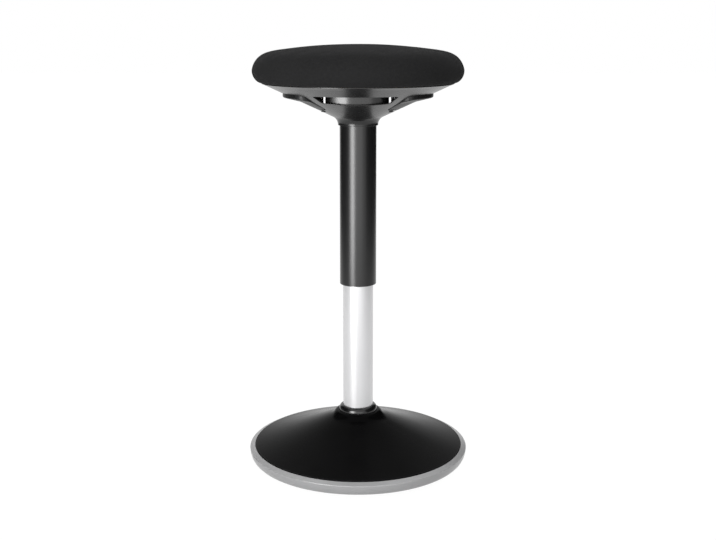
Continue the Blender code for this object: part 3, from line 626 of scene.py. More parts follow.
def woven():
    """Seat cloth: a plain weave on the cloth's flat coordinates, with fibre noise and sheen."""
    look = Look("fabric_cover")
    flat = look.node("ShaderNodeAttribute", attribute_name="weave").outputs["Vector"]
    split = look.node("ShaderNodeSeparateXYZ")
    look.link(flat, split.inputs[0])
    wobble = look.times(look.math("SUBTRACT", look.noise(5.0, 2.0), 0.5), 0.35)
    cells = []
    for axis in (0, 1):
        along = look.math("ADD", look.math("DIVIDE", split.outputs[axis], WEAVE_PITCH), wobble)
        cell = look.math("FLOOR", along)
        centre = look.math("SUBTRACT", look.math("SUBTRACT", along, cell), 0.5)
        cells.append((cell, look.math("COSINE", look.times(centre, math.pi))))
    both = look.math("ABSOLUTE", look.math("ADD", cells[0][0], cells[1][0]))
    checker = look.math("MODULO", both, 2.0)
    warp = look.times(cells[0][1], look.math("MULTIPLY_ADD", cells[1][1], 0.6, 0.4))
    weft = look.times(cells[1][1], look.math("MULTIPLY_ADD", cells[0][1], 0.6, 0.4))
    over = look.times(warp, checker)
    under = look.times(weft, look.math("SUBTRACT", 1.0, checker))
    threads = look.math("ADD", over, under)
    fibre = look.noise(0.35, 3.0, 0.7)
    height = look.math("MULTIPLY_ADD", fibre, 0.35, threads)
    # Darker between the threads and lighter on their crowns: painted shade of the weave.
    tone_with_painted_shade = look.mix(look.spread(threads, 0.0, 0.9), grey(0.0105, 0.0108), grey(0.0235, 0.024))
    melange = look.spread(look.noise(3.2, 4.0, 0.7), 0.35, 0.7, 0.0, 0.5)
    tone_with_painted_shade = look.mix(melange, tone_with_painted_shade, grey(0.0305, 0.031))
    rubbed = look.spread(look.noise(70.0, 2.0), 0.4, 0.7, 0.0, 0.25)
    look.colour(look.mix(rubbed, tone_with_painted_shade, grey(0.0265, 0.027)))
    look.rough(look.spread(fibre, 0.2, 0.8, 0.86, 0.98))
    look.bump(height, 0.55, 0.22)
    look.set(Specular_IOR_Level=0.09, Sheen_Weight=0.02, Sheen_Roughness=0.45,
             Sheen_Tint=(0.75, 0.75, 0.78, 1.0))
    return look.material


def plywood():
    look = Look("plywood_birch")
    grain = look.noise(3.0, 4.0, 0.65, stretch=(0.06, 1, 1))
    plies = look.node("ShaderNodeTexWave", bands_direction="Z")
    plies.inputs["Scale"].default_value = 0.11
    look.link(look.place((0, 0, 1)), plies.inputs["Vector"])
    wood = look.mix(look.spread(grain, 0.3, 0.7), (0.36, 0.23, 0.12), (0.56, 0.40, 0.23))
    look.colour(look.mix(look.times(plies.outputs["Fac"], 0.25), wood, (0.30, 0.18, 0.09)))
    look.rough(look.spread(grain, 0.3, 0.7, 0.55, 0.72))
    look.bump(grain, 0.3, 0.2)
    return look.material


def cast():
    look = Look("iron_cast")
    pits = look.noise(1.8, 4.0, 0.7)
    rust = look.spread(look.noise(20.0, 3.0), 0.35, 0.7)
    look.colour(look.mix(rust, grey(0.05, 0.052), (0.10, 0.092, 0.086)))
    look.rough(look.spread(pits, 0.3, 0.7, 0.6, 0.85))
    look.bump(pits, 0.6, 0.4)
    look.set(Metallic=0.5)
    return look.material


# The bowl's lighter edge colour is partly rubbing and partly a painted highlight along the window
# edges.
BOWL_PLASTIC = moulded("plastic_bowl", grey(0.0095, 0.0098), grey(0.013, 0.0135), 0.27,
                       grain_strength=0.12, specular=0.46, edge_colour=grey(0.06, 0.062))
PADDLE_PLASTIC = moulded("plastic_paddle", grey(0.008, 0.0083), grey(0.012, 0.0124), 0.45,
                         grain_strength=0.12, specular=0.32)
DOME_PLASTIC = moulded("plastic_dome", grey(0.0024, 0.0025), grey(0.0040, 0.0041), 0.22,
                       grain=0.7, grain_strength=0.08, specular=0.022, cloudy=90.0)
# The grey ring's much lighter edge colour is partly rubbing and partly a painted highlight on its
# rounded corner line.
GREY_PLASTIC = moulded("plastic_grey", grey(0.355, 0.36), grey(0.385, 0.39), 0.30, grain=0.6,
                       grain_strength=0.08, specular=0.85, edge_colour=grey(0.62), rub_and_highlight_amount=0.4)
GLOSS_PLASTIC = moulded("plastic_gloss", grey(0.005, 0.0052), grey(0.008, 0.0083), 0.22,
                        grain=1.4, grain_strength=0.02, specular=0.55, edge_colour=grey(0.05),
                        rub_and_highlight_amount=0.3)
NYLON = moulded("plastic_nylon", (0.62, 0.61, 0.57), (0.72, 0.71, 0.67), 0.45,
                edge_colour=(0.8, 0.79, 0.75))
RUBBER = moulded("rubber_black", grey(0.012), grey(0.02, 0.0195), 0.8, grain=0.9,
                 grain_strength=0.5, specular=0.3, edge_colour=(0.05, 0.048, 0.045))
SLEEVE_PAINT = painted("paint_black", grey(0.0085, 0.0088), grey(0.0105, 0.0108), 0.30,
                       specular=0.55)
SILVER_PAINT = painted("paint_silver", grey(0.76, 0.77), grey(0.80, 0.81), 0.32, metallic=0.5,
                       peel=0.8, edge_colour=grey(0.85))
STEEL = brushed("steel_plain", grey(0.40, 0.41), grey(0.56, 0.57), 0.34)
ZINC = brushed("zinc_bright", grey(0.62, 0.64), grey(0.80, 0.82), 0.24, stain=0.15)
POLISHED_ZINC = brushed("zinc_polished", grey(0.62, 0.63), grey(0.70, 0.71), 0.13,
                        strength=0.02, stain=0.08)
FABRIC = woven()
PLYWOOD = plywood()
IRON = cast()
BY_SLOT = {
    "fabric": FABRIC, "black_plastic": BOWL_PLASTIC, "gloss_plastic": GLOSS_PLASTIC,
    "grey_plastic": GREY_PLASTIC, "rubber": RUBBER, "black_paint": SLEEVE_PAINT,
    "silver_paint": SILVER_PAINT, "steel": STEEL, "zinc": ZINC, "cast_iron": IRON,
    "plywood": PLYWOOD, "nylon": NYLON,
}
NODE_SLOT = {part["node"]: part["material_slot"] for part in frame["record"]["subparts"]}
for node_name, node in nodes.items():
    node.data.materials.clear()
    node.data.materials.append(BY_SLOT[NODE_SLOT[node_name]])


def piece(obj, body, slot, material, *replaced):
    obj.data.materials.clear()
    obj.data.materials.append(material)
    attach(obj, body)
    if replaced:
        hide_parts(*replaced)


# ------------ seat cushion

PAD_R = 171.0
PAD_WIDEST_Z = SEAM_Z + 20.4
PAD_DOME = 16.2
PAD_SHOULDER = 25.1
PAD_UNDER_R = 154.5
PAD_UNDER_Z = SEAM_Z + 0.3
PAN_RECESS_R = 150.8
PAN_RECESS_Z = SEAM_Z + 9.6
CLOTH_FRAMES = 20
MOST_PUFF = 3.6
UNEVENNESS_KEPT = 0.3
TUCK_DEPTH = 0.32
FOAM_DEPTH = 0.22


def pad_rows(shrink):
    """Half outline of the pad, from the crown to the middle of the recess for the pan."""
    rows = []
    for u in np.linspace(0, 1, 70):
        part = 1 - (1 - u) ** 2.2
        rise = PAD_DOME * (1 - part ** 2) + (PAD_SHOULDER - shrink) * (1 - part ** 15.6) ** 0.7
        rows.append(((PAD_R - shrink) * part, PAD_WIDEST_Z + rise))
    for a in np.linspace(0, math.pi / 2, 16)[1:]:
        rows.append((PAD_UNDER_R + (PAD_R - shrink - PAD_UNDER_R) * math.cos(a),
                     PAD_WIDEST_Z - (PAD_WIDEST_Z - PAD_UNDER_Z) * math.sin(a)))
    return rows + [(PAN_RECESS_R, PAD_UNDER_Z, 0.4), (PAN_RECESS_R, PAN_RECESS_Z, 1.0),
                   (0.0, PAN_RECESS_Z)]


PAD_OUTLINE = np.array([row[:2] for row in pad_rows(0.0)])


def beside_outline(points):
    """Where points in millimetres lie beside the pad's outline.

    Returns how far along it from the crown, how far outside it, and the way out.
    """
    steps = np.diff(PAD_OUTLINE, axis=0)
    length = norm(steps, axis=1)
    before = np.concatenate([[0], np.cumsum(length)])
    at = np.column_stack([np.hypot(points[:, 0], points[:, 1]), points[:, 2]])
    best = np.full(len(at), 1e9)
    along, off, way = np.zeros(len(at)), np.zeros(len(at)), np.zeros((len(at), 2))
    for k in np.nonzero(length > 1e-6)[0]:
        t = np.clip((at - PAD_OUTLINE[k]) @ steps[k] / length[k] ** 2, 0, 1)
        gap = at - PAD_OUTLINE[k] - t[:, None] * steps[k]
        far = norm(gap, axis=1)
        closer = far < best
        best[closer] = far[closer]
        along[closer] = (before[k] + t * length[k])[closer]
        out = np.array([-steps[k][1], steps[k][0]]) / length[k]
        off[closer] = (gap @ out)[closer]
        way[closer] = out
    return along, off, way


def from_axis(points):
    """The plan direction from the axis to each point, of length 1."""
    return points[:, :2] / np.maximum(np.hypot(points[:, 0], points[:, 1]), 1e-6)[:, None]


def lay_weave(obj):
    """Writes each point's place on the flat cloth, in millimetres."""
    co = points_of(obj.data) / MM
    along, _, _ = beside_outline(co)
    flat = np.column_stack([from_axis(co) * along[:, None], np.zeros(len(co))])
    layer = obj.data.attributes.new("weave", "FLOAT_VECTOR", "POINT")
    layer.data.foreach_set("vector", flat.astype(np.float32).ravel())


def fit_outline(obj):
    """Sets the blown cover's general form on the pad's outline, and keeps some unevenness."""
    co = points_of(obj.data) / MM
    along, off, way = beside_outline(co)
    place = np.linspace(0, along.max() + 1e-6, 90)
    bin_of = np.digitize(along, place)
    known = [k for k in range(1, 91) if (bin_of == k).any()]
    usual = [np.median(off[bin_of == k]) for k in known]
    middle = place + (place[1] - place[0]) / 2
    general = np.interp(along, middle[np.array(known) - 1], usual)
    shift = UNEVENNESS_KEPT * (off - general) - off
    co[:, :2] += from_axis(co) * (way[:, 0] * shift)[:, None]
    co[:, 2] += way[:, 1] * shift
    set_points(obj.data, co * MM)
    print("pad beside its outline, mm: most %.2f" % np.abs(off + shift).max())


def puff(obj):
    """Blows the cover up over its foam with a short cloth simulation, and keeps its shape."""
    start = points_of(obj.data)
    r = norm(start[:, :2], axis=1)
    recess = (r < (PAN_RECESS_R + 2) * MM) & (start[:, 2] < (PAN_RECESS_Z + 4) * MM)
    held = (start[:, 2] < (SEAM_Z + 3.0) * MM) | recess
    group = obj.vertex_groups.new(name="held")
    group.add([int(i) for i in np.nonzero(held)[0]], 1.0, "REPLACE")
    cloth = obj.modifiers.new("cloth", "CLOTH")
    set_values(cloth.settings, quality=6, mass=0.3, tension_stiffness=18,
               compression_stiffness=18, bending_stiffness=2.5, use_pressure=True,
               uniform_pressure_force=4.0, vertex_group_mass="held")
    cloth.settings.effector_weights.gravity = 0.0
    cloth.collision_settings.use_self_collision = False
    set_values(cloth.point_cache, frame_start=1, frame_end=CLOTH_FRAMES)
    scene = bpy.context.scene
    for frame_number in range(1, CLOTH_FRAMES + 1):
        scene.frame_set(frame_number)
    graph = bpy.context.evaluated_depsgraph_get()
    move = points_of(obj.evaluated_get(graph).to_mesh()) - start
    far = norm(move, axis=1)
    print("pad moved, mm: mean %.2f most %.2f" % (far.mean() / MM, far.max() / MM))
    move *= np.minimum(1, MOST_PUFF * MM / np.maximum(far, 1e-9))[:, None]
    obj.modifiers.remove(cloth)
    obj.vertex_groups.clear()
    scene.frame_set(1)
    set_points(obj.data, start + move)


def apply_modifier(obj, kind, **values):
    made = obj.modifiers.new(kind, kind)
    set_values(made, **values)
    graph = bpy.context.evaluated_depsgraph_get()
    mesh = bpy.data.meshes.new_from_object(obj.evaluated_get(graph))
    obj.modifiers.remove(made)
    old = obj.data
    obj.data = mesh
    bpy.data.meshes.remove(old)


def make_cushion():
    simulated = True
    co, faces, no, _ = lathe_data(pad_rows(2.0 if simulated else 0.0), 168, closed=False)
    obj = finish_mesh("seat_cover", co, faces, None, None)
    if simulated:
        apply_modifier(obj, "REMESH", mode="VOXEL", voxel_size=5 * MM)
        apply_modifier(obj, "SMOOTH", factor=0.5, iterations=3)
        puff(obj)
        apply_modifier(obj, "SMOOTH", factor=0.5, iterations=2)
        apply_modifier(obj, "SUBSURF", levels=1, render_levels=1)
        fit_outline(obj)
    shape = points_of(obj.data)
    # Pulled cloth: small tucks just above the seam, and faintly uneven foam under the cover.
    r = norm(shape[:, :2], axis=1)
    angle = np.arctan2(shape[:, 1], shape[:, 0])
    z = shape[:, 2] / MM
    rng = np.random.default_rng(7)
    tucks = sum(
        rng.uniform(0.5, 1) * np.sin(count * angle + rng.uniform(0, TAU))
        for count in (31, 44, 57, 73, 96)
    ) / 3.2
    near_seam = np.exp(-((z - (SEAM_Z + 3.5)) / 4.5) ** 2) * (r > (PAN_RECESS_R + 3) * MM)
    waves = ((0.021, 0.034), (-0.043, 0.017), (0.012, -0.052), (0.061, 0.044), (-0.03, -0.07))
    x, y = shape[:, 0] / MM, shape[:, 1] / MM
    uneven = sum(
        rng.uniform(0.4, 1) * np.sin(a * x + b * y + rng.uniform(0, TAU)) for a, b in waves
    ) / 4
    on_top = np.clip((z - (SEAM_Z + 8)) / 12, 0, 1)
    push = (TUCK_DEPTH * tucks * near_seam + FOAM_DEPTH * uneven * on_top) * MM
    radial = shape[:, :2] / np.maximum(r, 1e-9)[:, None]
    lean = np.clip(r / (PAD_R * MM), 0, 1) ** 4
    shape[:, :2] += radial * (push * lean)[:, None]
    shape[:, 2] += push * (1 - lean) * on_top
    set_points(obj.data, shape)
    obj.data.shade_smooth()
    lay_weave(obj)
    obj.data.transform(Matrix.Rotation(SEAT_TURN, 4, "Z"))
    piece(obj, "seat", "fabric", FABRIC, "seat_cushion")


make_cushion()


# ------------ seat bowl

ARM_TURN = math.radians(52.5)
POSTS = [(POST_CIRCLE * math.cos(a), POST_CIRCLE * math.sin(a))
         for a in (POST_ANGLE, math.pi - POST_ANGLE, math.pi + POST_ANGLE, -POST_ANGLE)]


def bowl_low(points):
    r = norm(points, axis=1)
    return cone_z(r), np.full(len(r), CONE_SLOPE)


def bowl_high(points):
    """The inner side of the wall, thinned towards the lower lips of the front and back windows."""
    r = norm(points, axis=1)
    x, y = np.abs(points).T
    from_lip = FRONT_LIP_ARC_R - np.hypot(x, y + FRONT_LIP_ARC_R - FRONT_LIP_R)
    aside = x / np.maximum(y, 1e-6)
    share = np.clip(from_lip / 9.0, 0, 1) + np.clip((aside - 0.62) / 0.1, 0, 1)
    wall = BOWL_LIP_WALL + (BOWL_WALL - BOWL_LIP_WALL) * np.clip(share, 0, 1)
    return cone_z(r) + wall, np.full(len(r), CONE_SLOPE)


def front_window():
    """Between the outer arc and the flatter lower lip, at -Y."""
    start, end = -math.pi / 2 - FRONT_HALF, -math.pi / 2 + FRONT_HALF
    outer = arc_xy((0, 0), FRONT_OUTER_R, start, end)
    back = FRONT_LIP_ARC_R - FRONT_LIP_R
    reach = FRONT_HALF - math.asin(back * math.sin(FRONT_HALF) / FRONT_LIP_ARC_R)
    lip = arc_xy((0, back), FRONT_LIP_ARC_R, -math.pi / 2 + reach, -math.pi / 2 - reach)
    corners = [outer[0], outer[-1], lip[0], lip[-1]]
    return round_corners(outer + lip, 3.5, corners)


def sector(inner, outer, half, inset, centre, radius_out, radius_in):
    """A ring sector whose straight sides are moved in by an inset."""
    def reach(r):
        return half - math.asin(inset / r)
    far = arc_xy((0, 0), outer, -reach(outer), reach(outer))
    near = arc_xy((0, 0), inner, reach(inner), -reach(inner))
    loop = round_corners(far + near, radius_out, [far[0], far[-1]])
    loop = round_corners([tuple(p) for p in loop], radius_in, [near[0], near[-1]])
    return spin_loop(loop, centre)


def make_bowl():
    turn = math.atan(CONE_SLOPE)
    # The neck and the rim are turned, and the wall with the windows goes from one to the other.
    bore_r, neck_r, neck_z, fillet = 30.4, 32.8, 572.0, 14.0
    wall_in, wall_out = 62.0, 148.0
    touch = neck_r + fillet * (1 - math.sin(turn))
    start_z = cone_z(touch) - fillet * math.cos(turn)
    neck = [(bore_r, neck_z, 0.5), (neck_r, neck_z, 0.9), (neck_r, start_z)]
    for t in np.linspace(0, math.pi / 2 - turn, 9)[1:]:
        neck.append((neck_r + fillet * (1 - math.cos(t)), start_z + fillet * math.sin(t)))
    neck += [(r, cone_z(r)) for r in np.linspace(touch + 3, 58, 6)]
    neck += [(wall_in, cone_z(wall_in), 0), (wall_in, cone_z(wall_in) + BOWL_WALL, 0)]
    neck += [(r, cone_z(r) + BOWL_WALL) for r in np.linspace(58, 34, 7)]
    neck.append((bore_r, cone_z(bore_r) + BOWL_WALL, 1))
    windows = [front_window(), spin_loop(front_window(), math.pi)]
    for centre in (0.0, math.pi):
        windows.append(sector(SIDE_INNER_R, SIDE_OUTER_R + 1.5, SIDE_HALF, 0, centre, SIDE_CORNER,
                              SIDE_END))
    wall = shell(circle_loop(wall_out, 240), [circle_loop(wall_in, 144)] + windows,
                 bowl_low, bowl_high, 0.55, 2.6, plain=("outer", "hole0"))
    rim = lathe_data([(wall_out, cone_z(wall_out), 0), (RIM_R, SEAM_Z - 1.0, 0.3),
                      (RIM_R, SEAM_Z, 0.3), (INNER_RIM_R, SEAM_Z, 0.2), (148.9, SEAM_Z - 0.5),
                      (wall_out, cone_z(wall_out) + BOWL_WALL, 0)], 240)
    parts = [lathe_data(neck), wall, rim]
    boss_r, hole_r, boss_low, boss_top = 5.5, POST_R + 0.3, 595.5, 602.6
    boss = [(hole_r, boss_low), (boss_r, boss_low), (boss_r, boss_top, 0.6),
            (hole_r, boss_top, 0.3)]
    parts += [lathe_data(boss, 28, centre=post) for post in POSTS]
    for a in (ARM_TURN, math.pi - ARM_TURN, math.pi + ARM_TURN, -ARM_TURN):
        out = Vector((math.cos(a), math.sin(a), 0))
        side = Vector((0, 0, 1)).cross(out)
        place = Matrix((out.to_tuple(), (0, 0, 1), side.to_tuple())).transposed().to_4x4()
        rib = [(57, cone_z(57) + 1.6), (149, cone_z(149) + 1.6), (149, SEAM_Z - 0.6),
               (134, SEAM_Z - 0.6), (116, cone_z(116) + BOWL_WALL + 2),
               (57, cone_z(57) + BOWL_WALL + 2)]
        parts.append(bar(rib, -1.5, 1.5, 0.5, place))
    return merged("bowl_shell", parts)


piece(make_bowl(), "seat", "black_plastic", BOWL_PLASTIC, "seat_bowl")


# ------------ release paddles, hub and posts

def paddle_low(points):
    r = norm(points, axis=1)
    bend = np.clip(r, BEND_START, BEND_END) - BEND_START
    change = (PADDLE_TIP_SLOPE - CONE_SLOPE) / (BEND_END - BEND_START)
    z = cone_z(np.minimum(r, BEND_START)) + CONE_SLOPE * bend + change * bend ** 2 / 2
    z = z + np.maximum(r - BEND_END, 0) * PADDLE_TIP_SLOPE
    beyond = np.where(r > BEND_END, PADDLE_TIP_SLOPE, CONE_SLOPE + change * bend)
    return z, np.where(r < BEND_START, CONE_SLOPE, beyond)


def paddle_high(points):
    """The upper side, with a lip along the tip that follows the corners and dies out beyond."""
    z, slope = paddle_low(points)
    r = norm(points, axis=1)
    corner = SIDE_CORNER - PADDLE_GAP
    round_r = PADDLE_TIP_R - corner
    turn = SIDE_HALF - math.asin((PADDLE_GAP + corner) / round_r)
    angle = np.abs(np.arctan2(points[:, 1], points[:, 0]))
    off = np.hypot(r * np.cos(angle) - round_r * math.cos(turn),
                   r * np.sin(angle) - round_r * math.sin(turn))
    straight = np.minimum(PADDLE_TIP_R - r, r * np.sin(SIDE_HALF - angle) - PADDLE_GAP)
    in_corner = r * np.cos(SIDE_HALF - angle) > round_r * math.cos(SIDE_HALF - turn)
    depth = np.where((angle > turn) & in_corner, corner - off, straight)
    lip = np.clip((3.6 - depth) / 0.6, 0, 1) * np.clip((r - 88) / 22, 0, 1)
    tip = paddle_low(np.array([[PADDLE_TIP_R, 0.0]]))[0][0] + PADDLE_LIP
    return z + PADDLE_WALL + lip * (tip - z - PADDLE_WALL), np.where(lip > 0, 0.0, slope)


def make_paddle(name, spin):
    loop = sector(SIDE_INNER_R + PADDLE_GAP, PADDLE_TIP_R, SIDE_HALF, PADDLE_GAP, 0.0,
                  SIDE_CORNER - PADDLE_GAP, SIDE_END - PADDLE_GAP)
    # Points at both sides of the lip's slope, so that it comes out clean.
    out = outline_normals(loop, loop_area(loop) > 0)
    extra = np.concatenate([loop - out * inset for inset in (3.0, 3.6)])
    extra = extra[norm(extra, axis=1) > SIDE_INNER_R + 18]
    parts = [shell(loop, [], paddle_low, paddle_high, 1.5, 2.2, extra=extra),
             bar(rectangle(50.6, 79.4, -16, 16), 605.5, 612.0, 0.6)]
    spun = np.array(Matrix.Rotation(spin, 3, "Z")).T
    return merged(name, [(co @ spun, faces, no @ spun, edge) for co, faces, no, edge in parts])


for name, spin in (("paddle_right", 0.0), ("paddle_left", math.pi)):
    piece(make_paddle(name + "_shell", spin), "release", "black_plastic", PADDLE_PLASTIC, name)


def level(z):
    return lambda points: (np.full(len(points), z), np.zeros(len(points)))


def apron(middle):
    """A curved plate of the hub that stands close behind a window, with the web that carries it."""
    centre = (82.0 - APRON_R, 0)
    face = np.array(arc_xy(centre, APRON_R, -APRON_HALF, APRON_HALF)
                    + arc_xy(centre, APRON_R - 2.8, APRON_HALF, -APRON_HALF))
    web = np.array(arc_xy(centre, APRON_R - 2, -0.5, 0.5) + arc_xy((0, 0), 48.5, 0.56, -0.56))
    parts = []
    for loop, low, high in ((face, 608.3, HUB_TOP_Z), (web, *WEB_Z)):
        parts.append(shell(spin_loop(loop, middle), [], level(low), level(high), 0.5, 2.5))
    return parts


def warped(part, warp):
    """Bends the points of a part by a function, and turns its normals with them."""
    co, faces, no, edge = part
    step = 1e-3
    moved = warp(co)
    columns = [(warp(co + np.eye(3)[k] * step) - moved) / step for k in range(3)]
    turned = np.linalg.solve(np.stack(columns, 1), no[:, :, None])[:, :, 0]
    return moved, faces, unit_rows(turned), edge


hub_rows = [(22.3, 600, 0.6), (25.9, 600, 0.8), (25.9, 606, 1.2), (46, 606, 1.2),
            (46, HUB_LOW_Z, 0.5), (HUB_R, HUB_LOW_Z, 1.2), (HUB_R, HUB_TOP_Z, 1.4),
            (46, HUB_TOP_Z, 0.6), (46, 617.7, 0.3), (41.2, 617.7, 0.5), (41.2, 614.7, 0.5),
            (46, 614.7, 0.5), (46, 609, 1.2), (25.9, 609, 1.2), (25.9, 612, 0.8), (22.3, 612, 0.6)]
hub_parts = [lathe_data(hub_rows)]
for side in (1, -1):
    hub_parts.append(bar(rectangle(*sorted((side * 49.3, side * 68.3)), -16, 16), *WEB_Z, 0.5))
    hub_parts += apron(side * math.pi / 2)
piece(merged("hub_ring", hub_parts), "release", "gloss_plastic", GLOSS_PLASTIC, "release_hub")


def post_warp(axis, facing):
    """Gives a round pin broad, almost flat, slightly tapered faces that look to the windows."""
    u = np.array([math.sin(facing), -math.cos(facing)])
    v = np.array([-u[1], u[0]])

    def warp(points):
        a, b = (points[:, :2] - axis) @ u, (points[:, :2] - axis) @ v
        share = np.clip(np.abs(b) / (POST_R + 0.02), 0, 1)
        up = np.clip(points[:, 2] - 605, 0, 17)
        deep = POST_R - 0.148 * up + 0.00426 * up ** 2
        k = (deep - b ** 2 / 400) * np.sqrt((1 - share ** 8) / (1 - share ** 2)) / (POST_R + 0.02)
        return np.column_stack([axis + np.outer(a * k, u) + np.outer(b, v), points[:, 2]])
    return warp


for k in range(1, 5):
    low, high = (Vector(corner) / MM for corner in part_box(f"seat_post_{k}"))
    middle = Matrix.Rotation(-SEAT_TURN, 3, "Z") @ ((low + high) / 2)
    rows = [(0, low.z), (POST_R, low.z, 0.4)] + [(POST_R, z) for z in np.arange(604, 624, 1.0)]
    rows += [(POST_R, high.z, 0.4), (0, high.z)]
    pin = lathe_data(rows, 48, closed=False, centre=(middle.x, middle.y))
    inward = math.copysign(math.radians(2), -middle.x)
    facing = (inward if middle.y < 0 else math.pi - inward) - SEAT_TURN
    post = merged(f"post_{k}", [warped(pin, post_warp(np.array([middle.x, middle.y]), facing))])
    piece(post, "seat", "zinc", POLISHED_ZINC, f"seat_post_{k}")


# ------------ column, base

SLEEVE_R = 30.0
SLEEVE_WALL = 1.5
COLUMN_R = 25.0
COLUMN_WALL = 2.0
sleeve_rows = [(SLEEVE_R - SLEEVE_WALL, 308.5, 0.3), (SLEEVE_R, 308.5, 0.8),
               (SLEEVE_R, 590, 0.5), (SLEEVE_R - SLEEVE_WALL, 590, 0.3)]
column_rows = [(COLUMN_R - COLUMN_WALL, 24, 0.3), (COLUMN_R, 24, 0.3),
               (COLUMN_R, 478, 0.5), (COLUMN_R - COLUMN_WALL, 478, 0.5)]
collar_rows = [(25.3, 91.0, 0.2), (32.0, 91.0, 0.5), (31.9, 92.6), (31.4, 94.6), (30.5, 96.4),
               (29.3, 97.8), (28.0, 98.9), (26.8, 99.5, 0.5), (25.3, 99.3, 0.2)]
piece(lathe("sleeve_shell", sleeve_rows), "seat", "black_paint", SLEEVE_PAINT, "sleeve_tube")
piece(lathe("column_shell", column_rows), "base", "silver_paint", SILVER_PAINT, "column_tube")
piece(lathe("collar_ring", collar_rows), "base", "gloss_plastic", GLOSS_PLASTIC, "column_collar")

DOME_TOP_R = 33.7
DOME_R = 174.2
DOME_TOP_Z = 90.8
DOME_NECK_R = 44.0
DOME_FLAT_R = 148.0
DOME_WALL = 3.5


def dome_z(r):
    """The hollow slope below the neck, which goes on flatter to the rim."""
    down = min(r, DOME_FLAT_R) - DOME_NECK_R
    out = max(r - DOME_FLAT_R, 0)
    return 81.1 - 0.457 * down + 0.00071 * down ** 2 - 0.31 * out + 0.0009 * out ** 2


dome_r = np.concatenate([np.linspace(48, 70, 7), np.linspace(70, 171, 26)[1:]])
dome_rows = [(32.2, DOME_TOP_Z, 0.3), (DOME_TOP_R, DOME_TOP_Z, 0.5), (35.5, 90.2), (37.0, 89.4),
             (38.4, 88.1), (40, 86.1), (41.6, 84.1), (43.2, 82.5), (45.2, 81.0)]
dome_rows += [(r, dome_z(r)) for r in dome_r]
dome_rows += [(DOME_R, dome_z(DOME_R), 0.8), (DOME_R, 19.6, 0.4), (DOME_R - DOME_WALL, 19.6, 0.4),
              (DOME_R - DOME_WALL, dome_z(170) - 3.8, 1)]
dome_rows += [(r, dome_z(r) - DOME_WALL) for r in dome_r[::-1][1:]]
dome_rows += [(44, 78), (40, 81), (36, 85), (32.2, 87, 0.5)]
piece(lathe("dome_shell", dome_rows, 240), "base", "black_plastic", DOME_PLASTIC, "base_dome")

ring_rows = [(174.5, 32.9, 0.5), (183.3, 29.0, 1.3), (182.7, 24.0), (181.4, 19.0), (179.5, 15.4),
             (177.0, 12.9, 1.0), (165, 12.4, 0.4), (165, 16.3, 0.4), (150, 16.3, 0.4),
             (150, 19.3, 0.4), (174.5, 19.3, 0.3)]
piece(lathe("trim_ring", ring_rows, 240), "base", "grey_plastic", GREY_PLASTIC, "base_ring")

sole_rows = [(0.0, 0.0), (20, 0.0)]
for groove in (30.0, 50.0, 70.0):
    sole_rows += [(groove, 0.0, 0.3), (groove + 0.6, 0.9, 0.3), (groove + 2.4, 0.9, 0.3),
                  (groove + 3.0, 0.0, 0.3)]
sole_rows += [(90 + 74.7 * t, 11.4 * t ** 1.7) for t in np.linspace(0, 1, 26)]
sole_rows += [(164.7, 16.0, 0.4), (0.0, 16.0)]
piece(lathe("sole_pad", sole_rows, 200, closed=False), "base", "rubber", RUBBER, "base_sole")


# ------------ stage, light and camera

def seen_directly(graph, amount):
    """An amount for the camera, reflections and glass, and 0 for light on matt surfaces."""
    path = graph.node("ShaderNodeLightPath").outputs
    total = path["Is Camera Ray"]
    for name in ("Is Glossy Ray", "Is Transmission Ray"):
        total = graph.math("ADD", total, path[name])
        total.node.use_clamp = True
    return graph.times(total, amount)


def stage_surface(name, shade, glow, strength):
    """A matt stage surface that the camera and reflections see close to white."""
    look = Look(name)
    look.tree.nodes.clear()
    matt = look.filled("ShaderNodeBsdfDiffuse", Color=grey(shade))
    light = look.filled("ShaderNodeEmission", Strength=strength)
    mix = look.node("ShaderNodeMixShader")
    look.link(seen_directly(look, glow), mix.inputs[0])
    look.link(matt.outputs[0], mix.inputs[1])
    look.link(light.outputs[0], mix.inputs[2])
    look.link(mix.outputs[0], look.node("ShaderNodeOutputMaterial").inputs[0])
    return look.material


def stage_plane(name, size, location, rotation, material):
    mesh = bpy.data.meshes.new(name)
    w, h = size[0] / 2, size[1] / 2
    mesh.from_pydata([(-w, -h, 0), (w, -h, 0), (w, h, 0), (-w, h, 0)], [], [(0, 1, 2, 3)])
    mesh.materials.append(material)
    made = add_object(name, mesh)
    set_values(made, location=location, rotation_euler=rotation)
    return made


stage_plane("floor", (30, 30), (0, 0, -0.0003), (0, 0, 0),
            stage_surface("floor_white", 0.5, 0.86, 1.14))
flag = Look("flag_dark")
flag.set(Base_Color=(0.02, 0.02, 0.02, 1), Roughness=0.9)
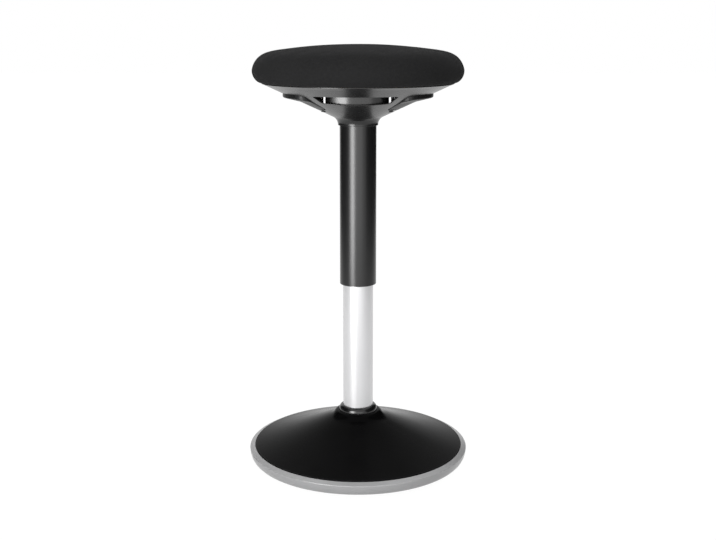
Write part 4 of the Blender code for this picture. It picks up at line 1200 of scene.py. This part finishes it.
# Dark boards at both sides, which the column reflects. No camera sees them.
upright = (math.radians(90), 0, math.radians(90))
for name, x, y, wide in (("flag_left", -1.5, 0.3, 3.2), ("flag_right", 1.5, 1.0, 4.6)):
    board = stage_plane(name, (wide, 2.0), (x, y, 1.01), upright, flag.material)
    set_values(board, visible_camera=False, visible_shadow=False, visible_diffuse=x < 0)


def studio_world(ambient):
    """Plain white to the camera and to reflections alike, and dimmer as light on matt surfaces."""
    world = bpy.data.worlds.new("studio")
    bpy.context.scene.world = world
    world.use_nodes = True
    graph = Graph(world.node_tree)
    back = graph.tree.nodes["Background"]
    graph.feed(back.inputs["Color"], grey(1.0))
    mix = graph.node("ShaderNodeMix")
    for index, value in ((0, seen_directly(graph, 1.0)), (2, ambient), (3, 1.0)):
        graph.feed(mix.inputs[index], value)
    graph.link(mix.outputs[0], back.inputs["Strength"])


studio_world(0.58)


def lamp(name, azimuth, elevation, distance, size, radiance, aim_z=0.43, matt=True):
    """A soft box, seen from the stool at an azimuth from the camera's side."""
    data = bpy.data.lights.new(name, "AREA")
    data.shape = "RECTANGLE"
    data.size, data.size_y = size
    data.energy = radiance * math.pi * size[0] * size[1]
    made = add_object(name, data)
    a, e = math.radians(azimuth), math.radians(elevation)
    way = Vector((math.sin(a) * math.cos(e), -math.cos(a) * math.cos(e), math.sin(e)))
    made.location = Vector((0, 0, aim_z)) + way * distance
    made.rotation_euler = way.to_track_quat("Z", "Y").to_euler()
    set_values(made, visible_camera=False, visible_diffuse=matt)


lamp("key", -37, 0, 1.25, (0.66, 0.82), 4.0)
lamp("key_core", -34, 0, 1.22, (0.46, 0.82), 8.3, matt=False)
lamp("spread", -4, 0, 1.45, (1.8, 0.82), 1.15)
lamp("top", 0, 88, 2.0, (1.8, 1.8), 0.35, aim_z=0.45)

camera_data = bpy.data.cameras.new("camera")
set_values(camera_data, lens=55.63, sensor_width=36, shift_x=-0.0001, shift_y=-0.0793, clip_end=100)
camera = add_object("camera", camera_data)
camera.location = (0, -1.797, 0.7335)
camera.rotation_euler = (math.radians(90 - 9.7), 0, 0)
bpy.context.scene.camera = camera
bpy.context.scene.view_settings.view_transform = "Standard"
